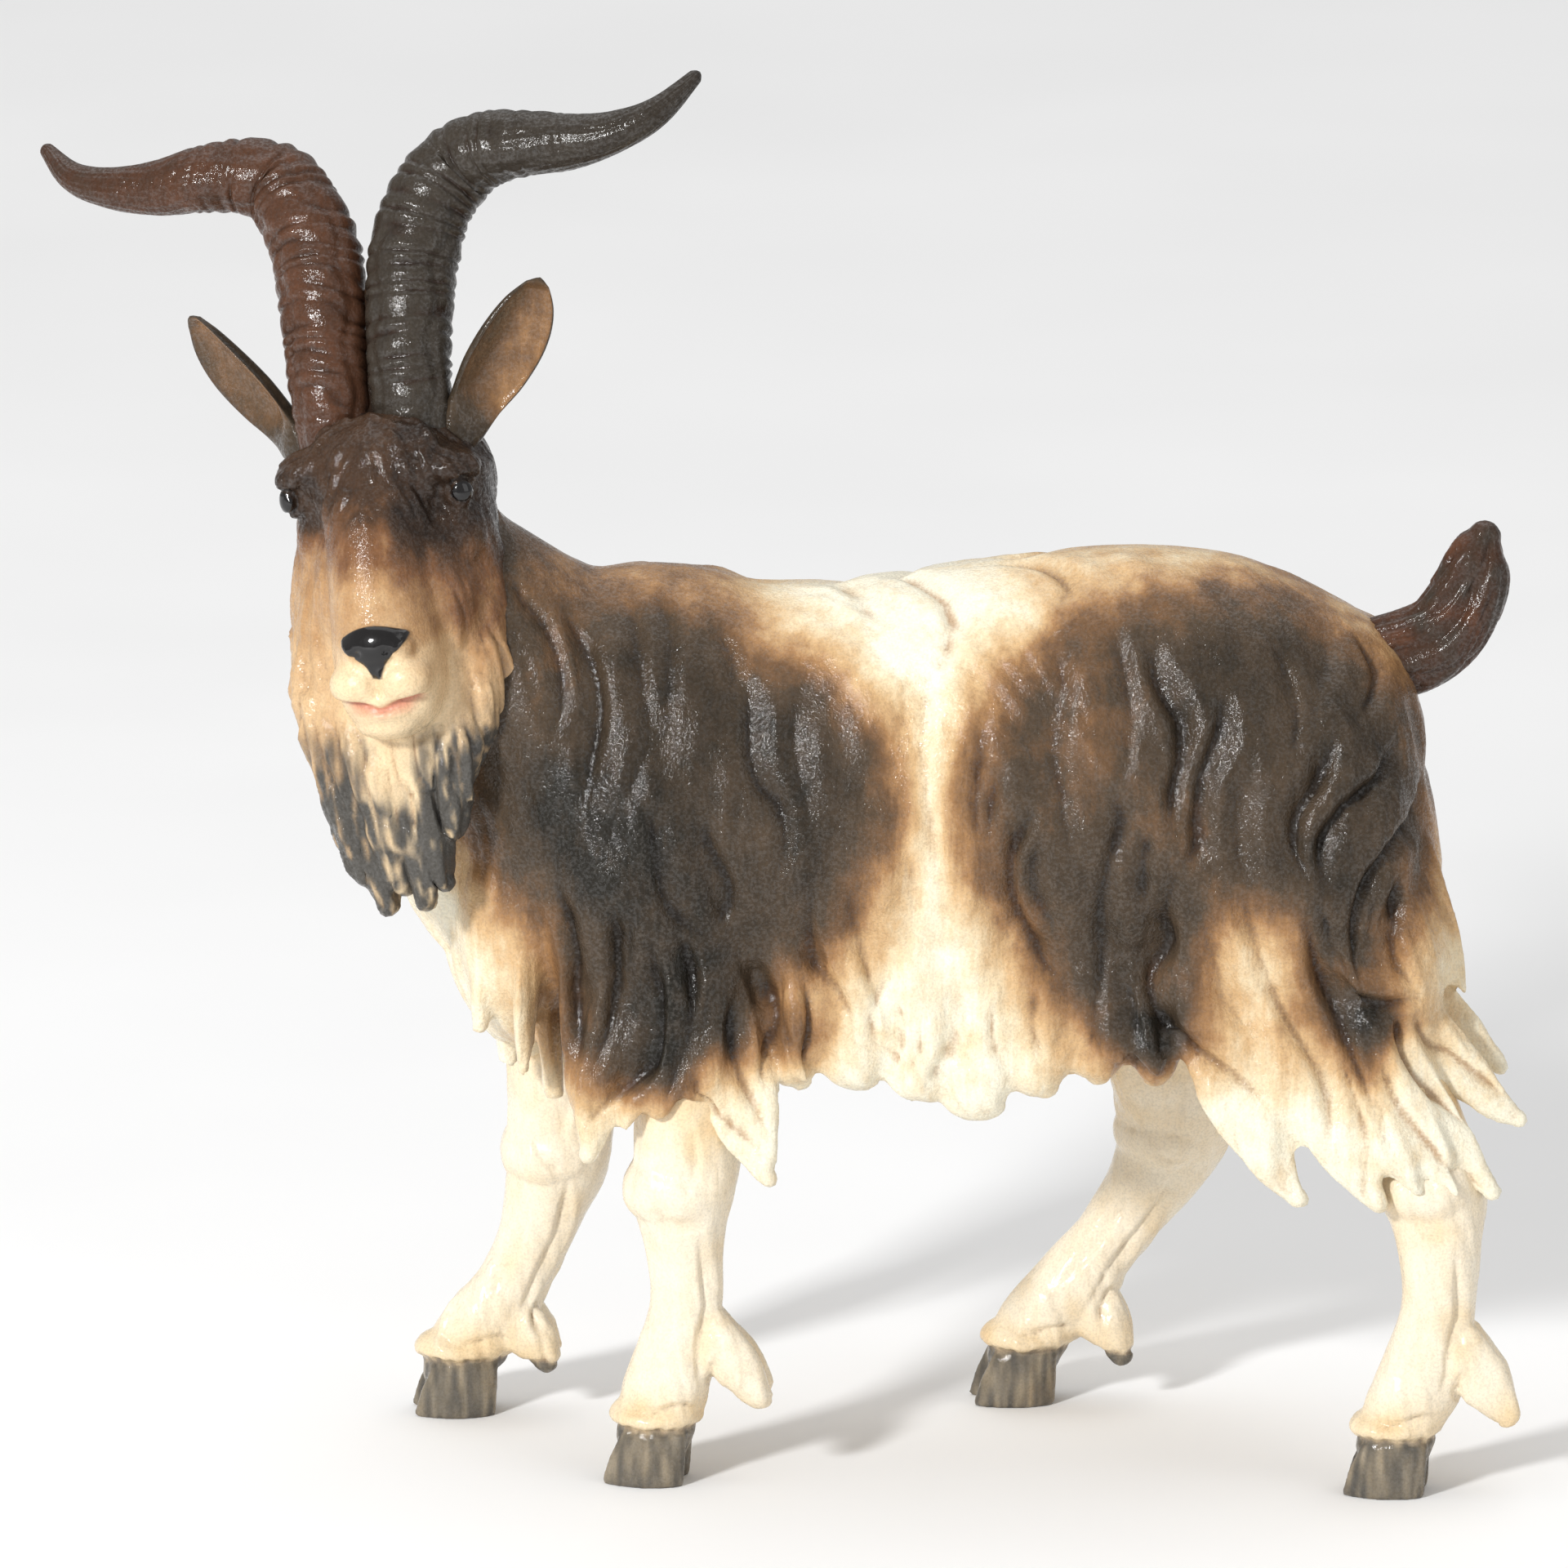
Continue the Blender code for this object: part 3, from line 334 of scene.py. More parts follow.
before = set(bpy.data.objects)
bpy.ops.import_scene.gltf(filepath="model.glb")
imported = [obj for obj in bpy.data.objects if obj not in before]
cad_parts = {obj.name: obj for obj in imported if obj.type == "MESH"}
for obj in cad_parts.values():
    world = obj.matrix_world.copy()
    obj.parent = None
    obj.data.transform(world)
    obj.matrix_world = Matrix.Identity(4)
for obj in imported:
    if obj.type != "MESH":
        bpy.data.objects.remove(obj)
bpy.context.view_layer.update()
random.seed(4)


# Solid forms, in a bmesh


def interpolated(stations, steps):
    """Stations with `steps` points between each pair, on a Catmull-Rom curve."""
    given = np.array(stations, float)
    padded = np.vstack([2 * given[0] - given[1], given, 2 * given[-1] - given[-2]])
    rows = []
    for i in range(1, len(padded) - 2):
        a, b, c, d = padded[i - 1 : i + 3]
        for t in np.arange(steps) / steps:
            rows.append(
                0.5 * (2 * b + (c - a) * t + (2 * a - 5 * b + 4 * c - d) * t**2
                       + (3 * b - a - 3 * c + d) * t**3)
            )
    rows.append(given[-1])
    return np.array(rows)


def add_rings(bm, rings):
    """A closed skin over rings of equal length."""
    rows = [[bm.verts.new(p) for p in ring] for ring in rings]
    sides = len(rows[0])
    for low, high in zip(rows, rows[1:]):
        for i in range(sides):
            j = (i + 1) % sides
            bm.faces.new((low[i], low[j], high[j], high[i]))
    bmesh.ops.triangulate(bm, faces=[bm.faces.new(rows[0][::-1]), bm.faces.new(rows[-1])])


def limb_frames(stations, across, steps):
    """Points, tangents, wide and deep directions and half sizes along a limb."""
    rows = interpolated(stations, steps)
    points, halves = rows[:, :3], rows[:, 3:5]
    tangents = np.gradient(points, axis=0)
    tangents /= np.linalg.norm(tangents, axis=1)[:, None]
    wide = np.array(across, float) - (tangents @ np.array(across, float))[:, None] * tangents
    wide /= np.linalg.norm(wide, axis=1)[:, None]
    return points, tangents, wide, np.cross(tangents, wide), halves


def add_limb(bm, stations, across, sides=24, steps=5, round_start=True, round_end=True):
    """A swept limb of elliptical section, with domed ends."""
    points, tangents, wide, deep, halves = limb_frames(stations, across, steps)
    angles = np.arange(sides) * 2 * math.pi / sides

    def ring(i, shift, share):
        half = halves[i] * share
        centre = points[i] + tangents[i] * shift
        return [centre + wide[i] * half[0] * math.cos(a) + deep[i] * half[1] * math.sin(a) for a in angles]

    def dome(i, way):
        lengths = (0.3, 0.58, 0.8, 0.93, 0.985)
        return [ring(i, way * s * halves[i].min(), math.sqrt(1 - s * s)) for s in lengths]

    rings = [ring(i, 0, 1) for i in range(len(points))]
    if round_start:
        rings = dome(0, -1)[::-1] + rings
    if round_end:
        rings += dome(len(points) - 1, 1)
    add_rings(bm, rings)


def add_ball(bm, centre, radii, turn=(0, 0, 0)):
    """A ball with a radius for each axis, turned by degrees about X, Y and Z."""
    place = Matrix.Translation(centre)
    for axis, degrees in zip("XYZ", turn):
        place = place @ Matrix.Rotation(math.radians(degrees), 4, axis)
    bmesh.ops.create_icosphere(bm, subdivisions=4, radius=1, matrix=place @ Matrix.Diagonal(radii).to_4x4())


# Outlines of a lock: share of its length and of its full size.
POINTED = ((0.0, 0.6), (0.25, 0.95), (0.5, 1.0), (0.75, 0.78), (0.92, 0.42), (1.0, 0.16))
BLUNT = ((0.0, 0.7), (0.3, 1.0), (0.6, 1.0), (0.85, 0.94), (1.0, 0.7))


def add_lock(bm, root, tip, width, thickness, across, sway=0.0, profile=POINTED):
    """A hanging lock: full below its root, narrowing to a tip, bent sideways by sway."""
    start, end = np.array(root, float), np.array(tip, float)
    side = np.array(across, float)
    side /= np.linalg.norm(side)
    stations = []
    for share, size in profile:
        centre = start + (end - start) * share + side * sway * math.sin(math.pi * share)
        stations.append((*centre, width / 2 * size, thickness / 2 * (0.45 + size * 0.55)))
    add_limb(bm, stations, across, sides=14, steps=4)


# Skins: dense meshes as numpy arrays


class Skin:
    """A dense closed mesh that is carved by moving its vertices along their normals."""

    def __init__(self, bm, voxel, smoothing):
        bmesh.ops.recalc_face_normals(bm, faces=bm.faces)
        rough = bpy.data.meshes.new("rough")
        bm.to_mesh(rough)
        bm.free()
        obj = bpy.data.objects.new("rough", rough)
        bpy.context.collection.objects.link(obj)
        remesh = obj.modifiers.new("fuse", "REMESH")
        remesh.mode = "VOXEL"
        remesh.voxel_size = voxel
        soften = obj.modifiers.new("soften", "SMOOTH")
        soften.factor = 0.5
        soften.iterations = smoothing
        fused = obj.evaluated_get(bpy.context.evaluated_depsgraph_get())
        self.mesh = bpy.data.meshes.new_from_object(fused)
        bpy.data.objects.remove(obj)
        self.refresh()

    def refresh(self):
        """Reads points, normals and edges from the mesh."""
        count = len(self.mesh.vertices)
        self.points = np.empty((count, 3), np.float32)
        self.mesh.vertices.foreach_get("co", self.points.ravel())
        self.normals = np.empty((count, 3), np.float32)
        self.mesh.vertices.foreach_get("normal", self.normals.ravel())
        edges = np.empty((len(self.mesh.edges), 2), np.int32)
        self.mesh.edges.foreach_get("vertices", edges.ravel())
        self.starts = np.concatenate([edges[:, 0], edges[:, 1]])
        self.ends = np.concatenate([edges[:, 1], edges[:, 0]])
        self.valence = np.maximum(np.bincount(self.starts, minlength=count), 1)
        self.tree = KDTree(count)
        for i, p in enumerate(self.points.tolist()):
            self.tree.insert(p, i)
        self.tree.balance()
        faces = [tuple(face.vertices) for face in self.mesh.polygons]
        self.surface = BVHTree.FromPolygons(self.points.tolist(), faces)

    def random_point(self):
        return self.points[random.randrange(len(self.points))]

    def blurred(self, values, times):
        """Values evened out with their neighbours'."""
        for _ in range(times):
            near = np.bincount(self.starts, values[self.ends], minlength=len(values)) / self.valence
            values = 0.5 * values + 0.5 * near
        return values

    def carve(self, height):
        """Moves every vertex out along its normal."""
        self.points = self.points + self.normals * height[:, None].astype(np.float32)
        self.mesh.vertices.foreach_set("co", self.points.ravel())
        self.mesh.update()
        self.mesh.vertices.foreach_get("normal", self.normals.ravel())

    def march(self, start, flow, length, step=0.4):
        """A path over the skin from start, along the flow."""
        path, point = [], Vector(start)
        for _ in range(int(length / step)):
            hit, normal, _, _ = self.surface.find_nearest(point)
            if hit is None:
                break
            way = Vector(flow(hit))
            way -= normal * way.dot(normal)
            if way.length < 0.05:
                break
            path.append(hit)
            point = hit + way.normalized() * step
        return path

    def strands(self, paths, step=0.4):
        """The height that raised strands give each vertex.

        Each path comes with its half width, its height and the share of it that is left at the end.
        """
        heights = np.zeros(len(self.points))
        points = self.points
        for path, half_width, height, free in paths:
            if len(path) < 6:
                continue
            line = np.array(path)
            ways = np.gradient(line, axis=0)
            ways /= np.maximum(np.linalg.norm(ways, axis=1), 1e-6)[:, None]
            shares = (np.arange(len(line)) + 0.5) / len(line)
            swell = np.clip(shares / 0.2, 0, 1) ** 0.7 * np.clip((1 - shares) / 0.45, 0, 1) ** 0.6
            rise = np.clip(shares / 0.25, 0, 1) * (1 - (1 - free) * shares**2)
            for centre, way, wide, lift in zip(line, ways, half_width * swell, height * rise):
                if wide < 0.2 * half_width:
                    continue
                hits = self.tree.find_range(centre, wide * 1.15)
                if not hits:
                    continue
                index = np.array([hit[1] for hit in hits])
                offset = points[index] - centre
                along = offset @ way
                apart = (offset * offset).sum(1) - along * along
                value = lift * (1 - np.clip(apart / wide**2, 0, 1)) * (np.abs(along) < step * 1.3)
                np.maximum.at(heights, index, value)
        return heights

    def cuts(self, paths):
        """The height that grooves take from each vertex: steep on one side, sloping on the other."""
        depths = np.zeros(len(self.points))
        for number, (path, half_width, depth) in enumerate(paths):
            line = interpolated(path, 12)
            ways = np.gradient(line, axis=0)
            ways /= np.maximum(np.linalg.norm(ways, axis=1), 1e-6)[:, None]
            shares = np.linspace(0, 1, len(line))
            swell = np.clip(np.minimum(shares / 0.22, (1 - shares) / 0.3), 0, 1) ** 0.7
            for centre, way, size in zip(line, ways, swell):
                hits = self.tree.find_range(centre, half_width * 1.9)
                if not hits:
                    continue
                index = np.array([hit[1] for hit in hits])
                offset = self.points[index] - centre
                right = np.cross(way, self.normals[index[0]]) * (-1) ** (number // 2)
                reach = half_width * np.where(offset @ right > 0, 0.75, 1.9)
                away = np.linalg.norm(offset, axis=1) / reach
                share = np.clip(1 - away / (0.5 + 0.5 * size), 0, 1)
                np.maximum.at(depths, index, depth * size * share**1.2)
        return -depths

    def noise_at(self, scale, seed=0.0, stretch=(1, 1, 1)):
        """Smooth noise from -1 to 1 at each vertex. scale is the size of its features."""
        places = self.points / scale / np.array(stretch, np.float32) + seed
        return np.array([noise.noise(p) for p in places.tolist()])

    def finish(self, name, node, material, fields):
        """Makes the scene object, in metres, with the fields as attributes."""
        moved = (self.points + LAYOUT_ORIGIN.astype(np.float32)) * np.float32(MM)
        self.mesh.vertices.foreach_set("co", moved.ravel())
        self.mesh.update()
        make_piece(self.mesh, name, node, material, fields)


def make_piece(mesh, name, node, material, fields):
    """An object that stands for a CAD node, with vertex fields for its material."""
    for key, values in fields.items():
        attribute = mesh.attributes.new(key, "FLOAT", "POINT")
        attribute.data.foreach_set("value", np.asarray(values, np.float32))
    mesh.materials.clear()
    mesh.materials.append(material)
    mesh.shade_smooth()
    mesh.name = name
    obj = bpy.data.objects.new(name, mesh)
    bpy.context.collection.objects.link(obj)
    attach(obj, "root")
    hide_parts(node)


def smoothstep(low, high, values):
    """0 at low, 1 at high and eased between them."""
    t = np.clip((values - low) / (high - low), 0, 1)
    return t * t * (3 - 2 * t)


def bell(offset, reach):
    """1 where offset is 0, fading to both sides over reach."""
    return np.exp(-((offset / reach) ** 2))


def inside_distance(points, outline):
    """Distance to an outline, positive inside it."""
    corners = np.array(outline, float)
    distance = np.full(len(points), 1e9)
    inside = np.zeros(len(points), bool)
    for a, b in zip(corners, np.roll(corners, -1, axis=0)):
        edge = b - a
        share = np.clip(((points - a) @ edge) / (edge @ edge), 0, 1)
        distance = np.minimum(distance, np.linalg.norm(points - a - share[:, None] * edge, axis=1))
        crosses = (a[1] > points[:, 1]) != (b[1] > points[:, 1])
        height = (points[:, 1] - a[1]) / (edge[1] if edge[1] else 1e-9)
        inside ^= crosses & (points[:, 0] < a[0] + edge[0] * height)
    return np.where(inside, distance, -distance)


# Materials


class Nodes:
    """A short way to write a material's nodes."""

    def __init__(self, name):
        self.material = bpy.data.materials.new(name)
        self.material.use_nodes = True
        self.tree = self.material.node_tree
        self.shader = self.tree.nodes["Principled BSDF"]
        self.place = self.add("ShaderNodeTexCoord").outputs["Object"]

    def add(self, kind, **settings):
        node = self.tree.nodes.new(kind)
        for key, value in settings.items():
            setattr(node, key, value)
        return node

    def feed(self, socket, value):
        if isinstance(value, bpy.types.NodeSocket):
            self.tree.links.new(value, socket)
        elif value is not None:
            socket.default_value = value

    def field(self, name):
        return self.add("ShaderNodeAttribute", attribute_name=name).outputs["Fac"]

    def sums(self, operation, a, b=None, clamp=False):
        node = self.add("ShaderNodeMath", operation=operation, use_clamp=clamp)
        self.feed(node.inputs[0], a)
        self.feed(node.inputs[1], b)
        return node.outputs[0]

    def stretched(self, scale):
        """Object coordinates times a scale for each axis."""
        node = self.add("ShaderNodeVectorMath", operation="MULTIPLY")
        self.feed(node.inputs[0], self.place)
        node.inputs[1].default_value = scale
        return node.outputs[0]

    def noise(self, size_mm, detail=3.0, roughness=0.55, stretch=(1, 1, 1), distortion=0.0):
        node = self.add("ShaderNodeTexNoise")
        self.feed(node.inputs["Vector"], self.stretched([1 / MM / size_mm / s for s in stretch]))
        node.inputs["Scale"].default_value = 1
        node.inputs["Detail"].default_value = detail
        node.inputs["Roughness"].default_value = roughness
        node.inputs["Distortion"].default_value = distortion
        return node.outputs["Fac"]

    def between(self, value, low, high, to_low=0.0, to_high=1.0):
        node = self.add("ShaderNodeMapRange", interpolation_type="SMOOTHSTEP")
        self.feed(node.inputs["Value"], value)
        for key, number in zip(("From Min", "From Max", "To Min", "To Max"), (low, high, to_low, to_high)):
            node.inputs[key].default_value = number
        return node.outputs["Result"]

    def ramp(self, value, stops):
        node = self.add("ShaderNodeValToRGB")
        self.feed(node.inputs["Fac"], value)
        elements = node.color_ramp.elements
        while len(elements) < len(stops):
            elements.new(0.5)
        for element, (place, colour) in zip(elements, stops):
            element.position = place
            element.color = (*colour, 1)
        return node.outputs["Color"]

    def mix(self, share, a, b, blend="MIX"):
        node = self.add("ShaderNodeMix", data_type="RGBA", blend_type=blend)
        self.feed(node.inputs["Factor"], share)
        self.feed(node.inputs["A"], (*a, 1) if isinstance(a, tuple) else a)
        self.feed(node.inputs["B"], (*b, 1) if isinstance(b, tuple) else b)
        return node.outputs["Result"]

    def varied(self, value, pattern, amount, clamp=True):
        """A value that swings with a pattern."""
        swing = self.sums("MULTIPLY", self.sums("SUBTRACT", pattern, 0.5), amount)
        return self.sums("ADD", value, swing, clamp=clamp)

    def relief(self, pattern, strength, depth_mm, under=None):
        """The normal of a pattern's relief, over the normal under it."""
        node = self.add("ShaderNodeBump")
        self.feed(node.inputs["Strength"], strength)
        node.inputs["Distance"].default_value = depth_mm * MM
        self.feed(node.inputs["Height"], pattern)
        self.feed(node.inputs["Normal"], under)
        return node.outputs["Normal"]


def painted(name, stops, roughness, stipple, extras=(), wash_colour=WASH_BROWN):
    """Oil paint brushed over carved wood under a satin varnish.

    The fields are tone, 0 for the lightest paint to 1 for the darkest, and groove, 1 in the cuts and 0 on
    the ridges. extras are painted on top, and those that start below 0 are polished.
    """
    n = Nodes(name)
    grain = n.noise(0.27, detail=3, roughness=0.6)
    brush = n.noise(0.5, detail=3, stretch=(1, 1, 7), distortion=0.4)
    cloud = n.noise(2.6, detail=4, roughness=0.6)
    tone = n.varied(n.varied(n.field("tone"), cloud, 0.34, clamp=False), brush, 0.16)
    colour = n.ramp(tone, stops)
    groove = n.varied(n.field("groove"), grain, 0.5)
    wash = n.mix(0.75, colour, n.ramp(tone, [(0.0, wash_colour), *DARK_WASHES]))
    colour = n.mix(n.between(groove, 0.40, 1.0), colour, wash)
    # Lighter ochre on the ridge tops: dry-brushed paint and a painted highlight.
    dry_brush_highlight = n.sums("MULTIPLY", n.between(groove, 0.30, 0.0), n.between(grain, 0.46, 0.66, 0, 0.3))
    colour = n.mix(dry_brush_highlight, colour, n.mix(0.07, colour, DRY_BRUSH_HIGHLIGHT_OCHRE))
    polish = None
    for field, paint, low, high in extras:
        share = n.between(n.field(field), low, high)
        colour = n.mix(share, colour, paint)
        if low < 0:
            polish = share if polish is None else n.sums("MAXIMUM", share, polish)
    varnish = n.between(grain, 0.42, 0.62, 0.22, 1.0)
    if polish is not None:
        varnish = n.sums("MAXIMUM", varnish, polish)
        stipple = n.between(polish, 0, 1, stipple, 0.04)
    fleck = n.between(n.noise(0.2, detail=2), 0.3, 0.75, 0.86, 1.1)
    colour = n.mix(1.0, colour, n.mix(fleck, (0, 0, 0), (1, 1, 1)), blend="MULTIPLY")
    n.feed(n.shader.inputs["Base Color"], colour)
    n.feed(n.shader.inputs["Roughness"], n.between(grain, 0.25, 0.8, roughness - 0.12, roughness + 0.16))
    n.feed(n.shader.inputs["Coat Weight"], varnish)
    n.feed(n.shader.inputs["Coat Roughness"], n.between(brush, 0.3, 0.7, 0.05, 0.12))
    n.shader.inputs["Specular IOR Level"].default_value = 0.06
    weave = n.relief(grain, stipple, 0.15)
    n.feed(n.shader.inputs["Normal"], n.relief(brush, 0.5, 0.1, under=weave))
    n.feed(n.shader.inputs["Coat Normal"], weave)
    return n.material


def beech():
    """Bare turned beech, for the dowels inside the joints."""
    n = Nodes("bare_beech")
    grain = n.noise(0.5, detail=5, stretch=(1, 1, 12), distortion=0.6)
    n.feed(n.shader.inputs["Base Color"], n.ramp(grain, BEECH_STOPS))
    n.feed(n.shader.inputs["Roughness"], n.between(grain, 0.3, 0.7, 0.55, 0.75))
    return n.material


def paints():
    """Every material of the figure."""
    return {
        "coat": painted("coat_paint", COAT_STOPS, roughness=0.40, stipple=0.6),
        "face": painted("face_paint", FACE_STOPS, roughness=0.38, stipple=0.5, extras=FACE_EXTRAS),
        "horn": painted("horn_paint", HORN_STOPS, roughness=0.36, stipple=0.4, wash_colour=WASH_BLACK),
        "ear": painted("ear_paint", COAT_STOPS, roughness=0.42, stipple=0.3),
        "leg": painted("leg_paint", LEG_STOPS, roughness=0.44, stipple=0.25, extras=HOOF_EXTRAS),
        "beech": beech(),
    }


# The pieces


def coat_flow(point):
    """Which way the hair lies on the body: off the spine, down the flank, and back towards the rump."""
    x, y, z = point
    below = max(0.0, SPINE_HEIGHT - z)
    neck = float(smoothstep(-8.0, -19.0, x))
    body_slope = 1.1 * math.exp(-below / 7) + 0.10 + 0.0026 * below
    neck_slope = 0.30 + 0.3 * math.exp(-below / 5)
    slope = body_slope * (1 - neck) + neck * neck_slope
    slope += 0.42 * math.sin(z / 5.2 + x / 7.5) * (1 - 0.5 * neck)
    chest = float(smoothstep(-19.0, -25.0, x))
    return (slope * (1 - chest), math.copysign(0.9 * math.exp(-below / 6), y), -1.0)


def add_leg_skirt(bm, x, y):
    """A sleeve of hair from the body over the top of a leg, with a fringe of locks."""
    inner_x = x + 0.15 * (12.0 - x)
    sleeve = [
        (inner_x, y * 0.5, 53, 3.4, 3.6), (x, y * 0.84, 45, 5.2, 5.8), (x, y, 39, 5.4, 5.8),
        (x, y, 35, 4.8, 5),
    ]
    add_limb(bm, sleeve, across=(0, 1, 0))
    for i in range(SKIRT_LOCKS):
        angle = 2 * math.pi * i / SKIRT_LOCKS
        out_x, out_y = math.cos(angle), math.sin(angle)
        end = 32.4 + 0.8 * math.sin(1.9 * i)
        root, tip = (x + 3.8 * out_x, y + 3.6 * out_y, 42.0), (x + 5.0 * out_x, y + 4.6 * out_y, end)
        sway = random.uniform(-0.6, 0.6)
        add_lock(bm, root, tip, 4.8, 2.8, across=(-out_y, out_x, 0), sway=sway, profile=BLUNT)


def coat_strands(skin, count, length, half_width, height, top=90.0):
    """Strands from seeds scattered over the coat."""
    paths = []
    for _ in range(count):
        seed = skin.random_point()
        if seed[2] > top or (seed[2] < 33 and abs(seed[1]) < 9):
            continue
        path = skin.march(seed, coat_flow, random.uniform(*length))
        wide = random.uniform(*half_width)
        paths.append((path, wide, height * (0.7 + 0.3 * wide / half_width[1]), 0.5))
    return skin.strands(paths)


def on_flank(skin, x, height, side):
    """The point of the skin that is seen at x and height from the side and a little above."""
    start = Vector((x, side * 60, height + SIDE_VIEW_SLOPE * 60))
    hit = skin.surface.ray_cast(start, Vector((0, -side, -SIDE_VIEW_SLOPE)).normalized())[0]
    return None if hit is None or hit.y * side < -2 else tuple(hit)


def flank_cuts(skin):
    """The paths of the grooves on both flanks, shallower under the belly."""
    paths = []
    for side in (-1, 1):
        for table, half_width, depth in CUTS:
            for outline in table:
                line = interpolated([(x, height, 0) for x, height in outline], 3)
                path = [on_flank(skin, x, height, side) for x, height, _ in line]
                path = [point for point in path if point]
                middle = np.mean(path, axis=0) if path else (0, 0, 0)
                belly = 0.5 if 3 < middle[0] < 27 and middle[2] < 42 else 1.0
                if len(path) > 4:
                    paths.append((path, half_width, depth * belly))
    return paths


def torso_form():
    """The solid body: barrel, neck, chest, shoulders, haunches and the hanging locks."""
    bm = bmesh.new()
    barrel = [(x, 0, (top + belly) / 2, wide, (top - belly) / 2) for x, top, belly, wide in BARREL]
    add_limb(bm, barrel, across=(0, 1, 0), sides=48, round_end=False)
    add_limb(bm, NECK, across=(0, 1, 0), sides=40)
    add_ball(bm, (-20.5, 0, 45.0), (6.5, 10.0, 12.0))
    for side in (-1, 1):
        add_ball(bm, (1.4, side * 11.4, 38.4), (3.2, 2.8, 4.4))
        add_ball(bm, (-10.0, side * 8.6, 49.4), (9.5, 6.2, 16.0))
        add_ball(bm, (38.6, side * 8.4, 49.4), (12.0, 7.0, 16.5))
        for (x, breadth, z), (tip_x, tip_breadth, tip_z), width, thickness in SIDE_LOCKS:
            if side > 0:
                tip_x = min(tip_x, RIGHT_LOCKS_END)
            root, tip = (x, side * (breadth - 1.0), z), (tip_x, side * (tip_breadth - 0.6), tip_z)
            sway = -0.12 * (z - tip_z) * (0.6 if tip_x > x else -0.3)
            add_lock(bm, root, tip, width, thickness, across=(1, 0, 0), sway=sway)
        for x, drop, width in HEM:
            root, tip = (x - 0.4, side * 10.6, 46), (x + 0.6, side * 11.0, drop)
            add_lock(bm, root, tip, width, 5.0, across=(1, 0, 0), sway=1.0, profile=BLUNT)
    for root, tip, width, thickness in CHEST_LOCKS:
        add_lock(bm, root, tip, width, thickness, across=(0.5, 1, 0))
    for hoof, _, line, _ in LEGS.values():
        add_leg_skirt(bm, hoof[0] + line[0][0], hoof[1] + line[0][1])
    return bm


def make_torso(material):
    """The body in its long coat, with grooves and painted patches."""
    skin = Skin(torso_form(), voxel=0.36, smoothing=4)
    carved = skin.cuts(flank_cuts(skin))
    folds = coat_strands(skin, 130, (12, 26), (1.6, 2.6), 0.42)
    middle = coat_strands(skin, 420, (8, 20), (0.7, 1.1), 0.16)
    low = coat_strands(skin, 420, (8, 18), (0.6, 1.1), 0.20, top=46.0)
    fine = coat_strands(skin, 900, (6, 14), (0.42, 0.6), 0.09)
    height = skin.blurred(folds, 3) + middle + low + fine + skin.blurred(carved, 1)
    skin.carve(height - 0.35)
    x, y, z = skin.points.T
    side_height = z - SIDE_VIEW_SLOPE * np.abs(y)
    seen = np.stack([x, side_height], 1)
    shoulder = inside_distance(seen, SHOULDER_PATCH)
    rump = inside_distance(seen, RUMP_PATCH)
    ragged = skin.noise_at(5.0, 3.1, (1, 1, 2.2)) * 1.7 + skin.noise_at(1.6, 9.0, (1, 1, 3)) * 0.8
    depth = np.maximum(shoulder, rump) + ragged
    tone = 0.24 * smoothstep(-6.5, -1.4, depth) + 0.28 * smoothstep(-2.6, 1.0, depth)
    tone += 0.26 * smoothstep(0.0, 5.5, depth)
    # Streaks of paint tone, and painted shadow under the locks and in the gaps between them.
    for centre_x, centre_height, reach_x, reach_height, change in TONE_STREAKS_AND_SHADOWS:
        away = ((x - centre_x) / reach_x) ** 2 + ((side_height - centre_height) / reach_height) ** 2
        tone += change * np.exp(-away)
    tone += 0.08 + 0.06 * skin.noise_at(3.0, 5.0, (1, 1, 3)) + 0.10 * skin.noise_at(8.0, 11.0, (1, 1, 2))
    hem = smoothstep(37.0, 29.0, z + 1.5 * skin.noise_at(3.0, 7.0))
    tone = np.clip(tone * (1 - 0.62 * hem), 0, 1)
    relief = height - skin.blurred(height, 14)
    groove = np.clip(0.36 - relief * 2.1, 0, 1)
    skin.finish("torso_coat", "torso", material, {"tone": tone, "groove": groove})


def nose_distance(x, z):
    """Distance inside the painted nose pad, from its middle: broad and round above, narrow below."""
    half = np.interp(z, *zip(*NOSE_PAD))
    return np.minimum(np.minimum(0.75 * (half - np.abs(x)), z + 2.3), 1.95 - 0.12 * x**2 - z)


def head_flow(point):
    """Hair on the head falls from the brow, spreads over the cheeks and gathers into the beard."""
    x, _, z = point
    return (0.30 * math.tanh((x - 0.5) / 4) * (1 if z > -9 else -0.8), 0.25, -1.0)


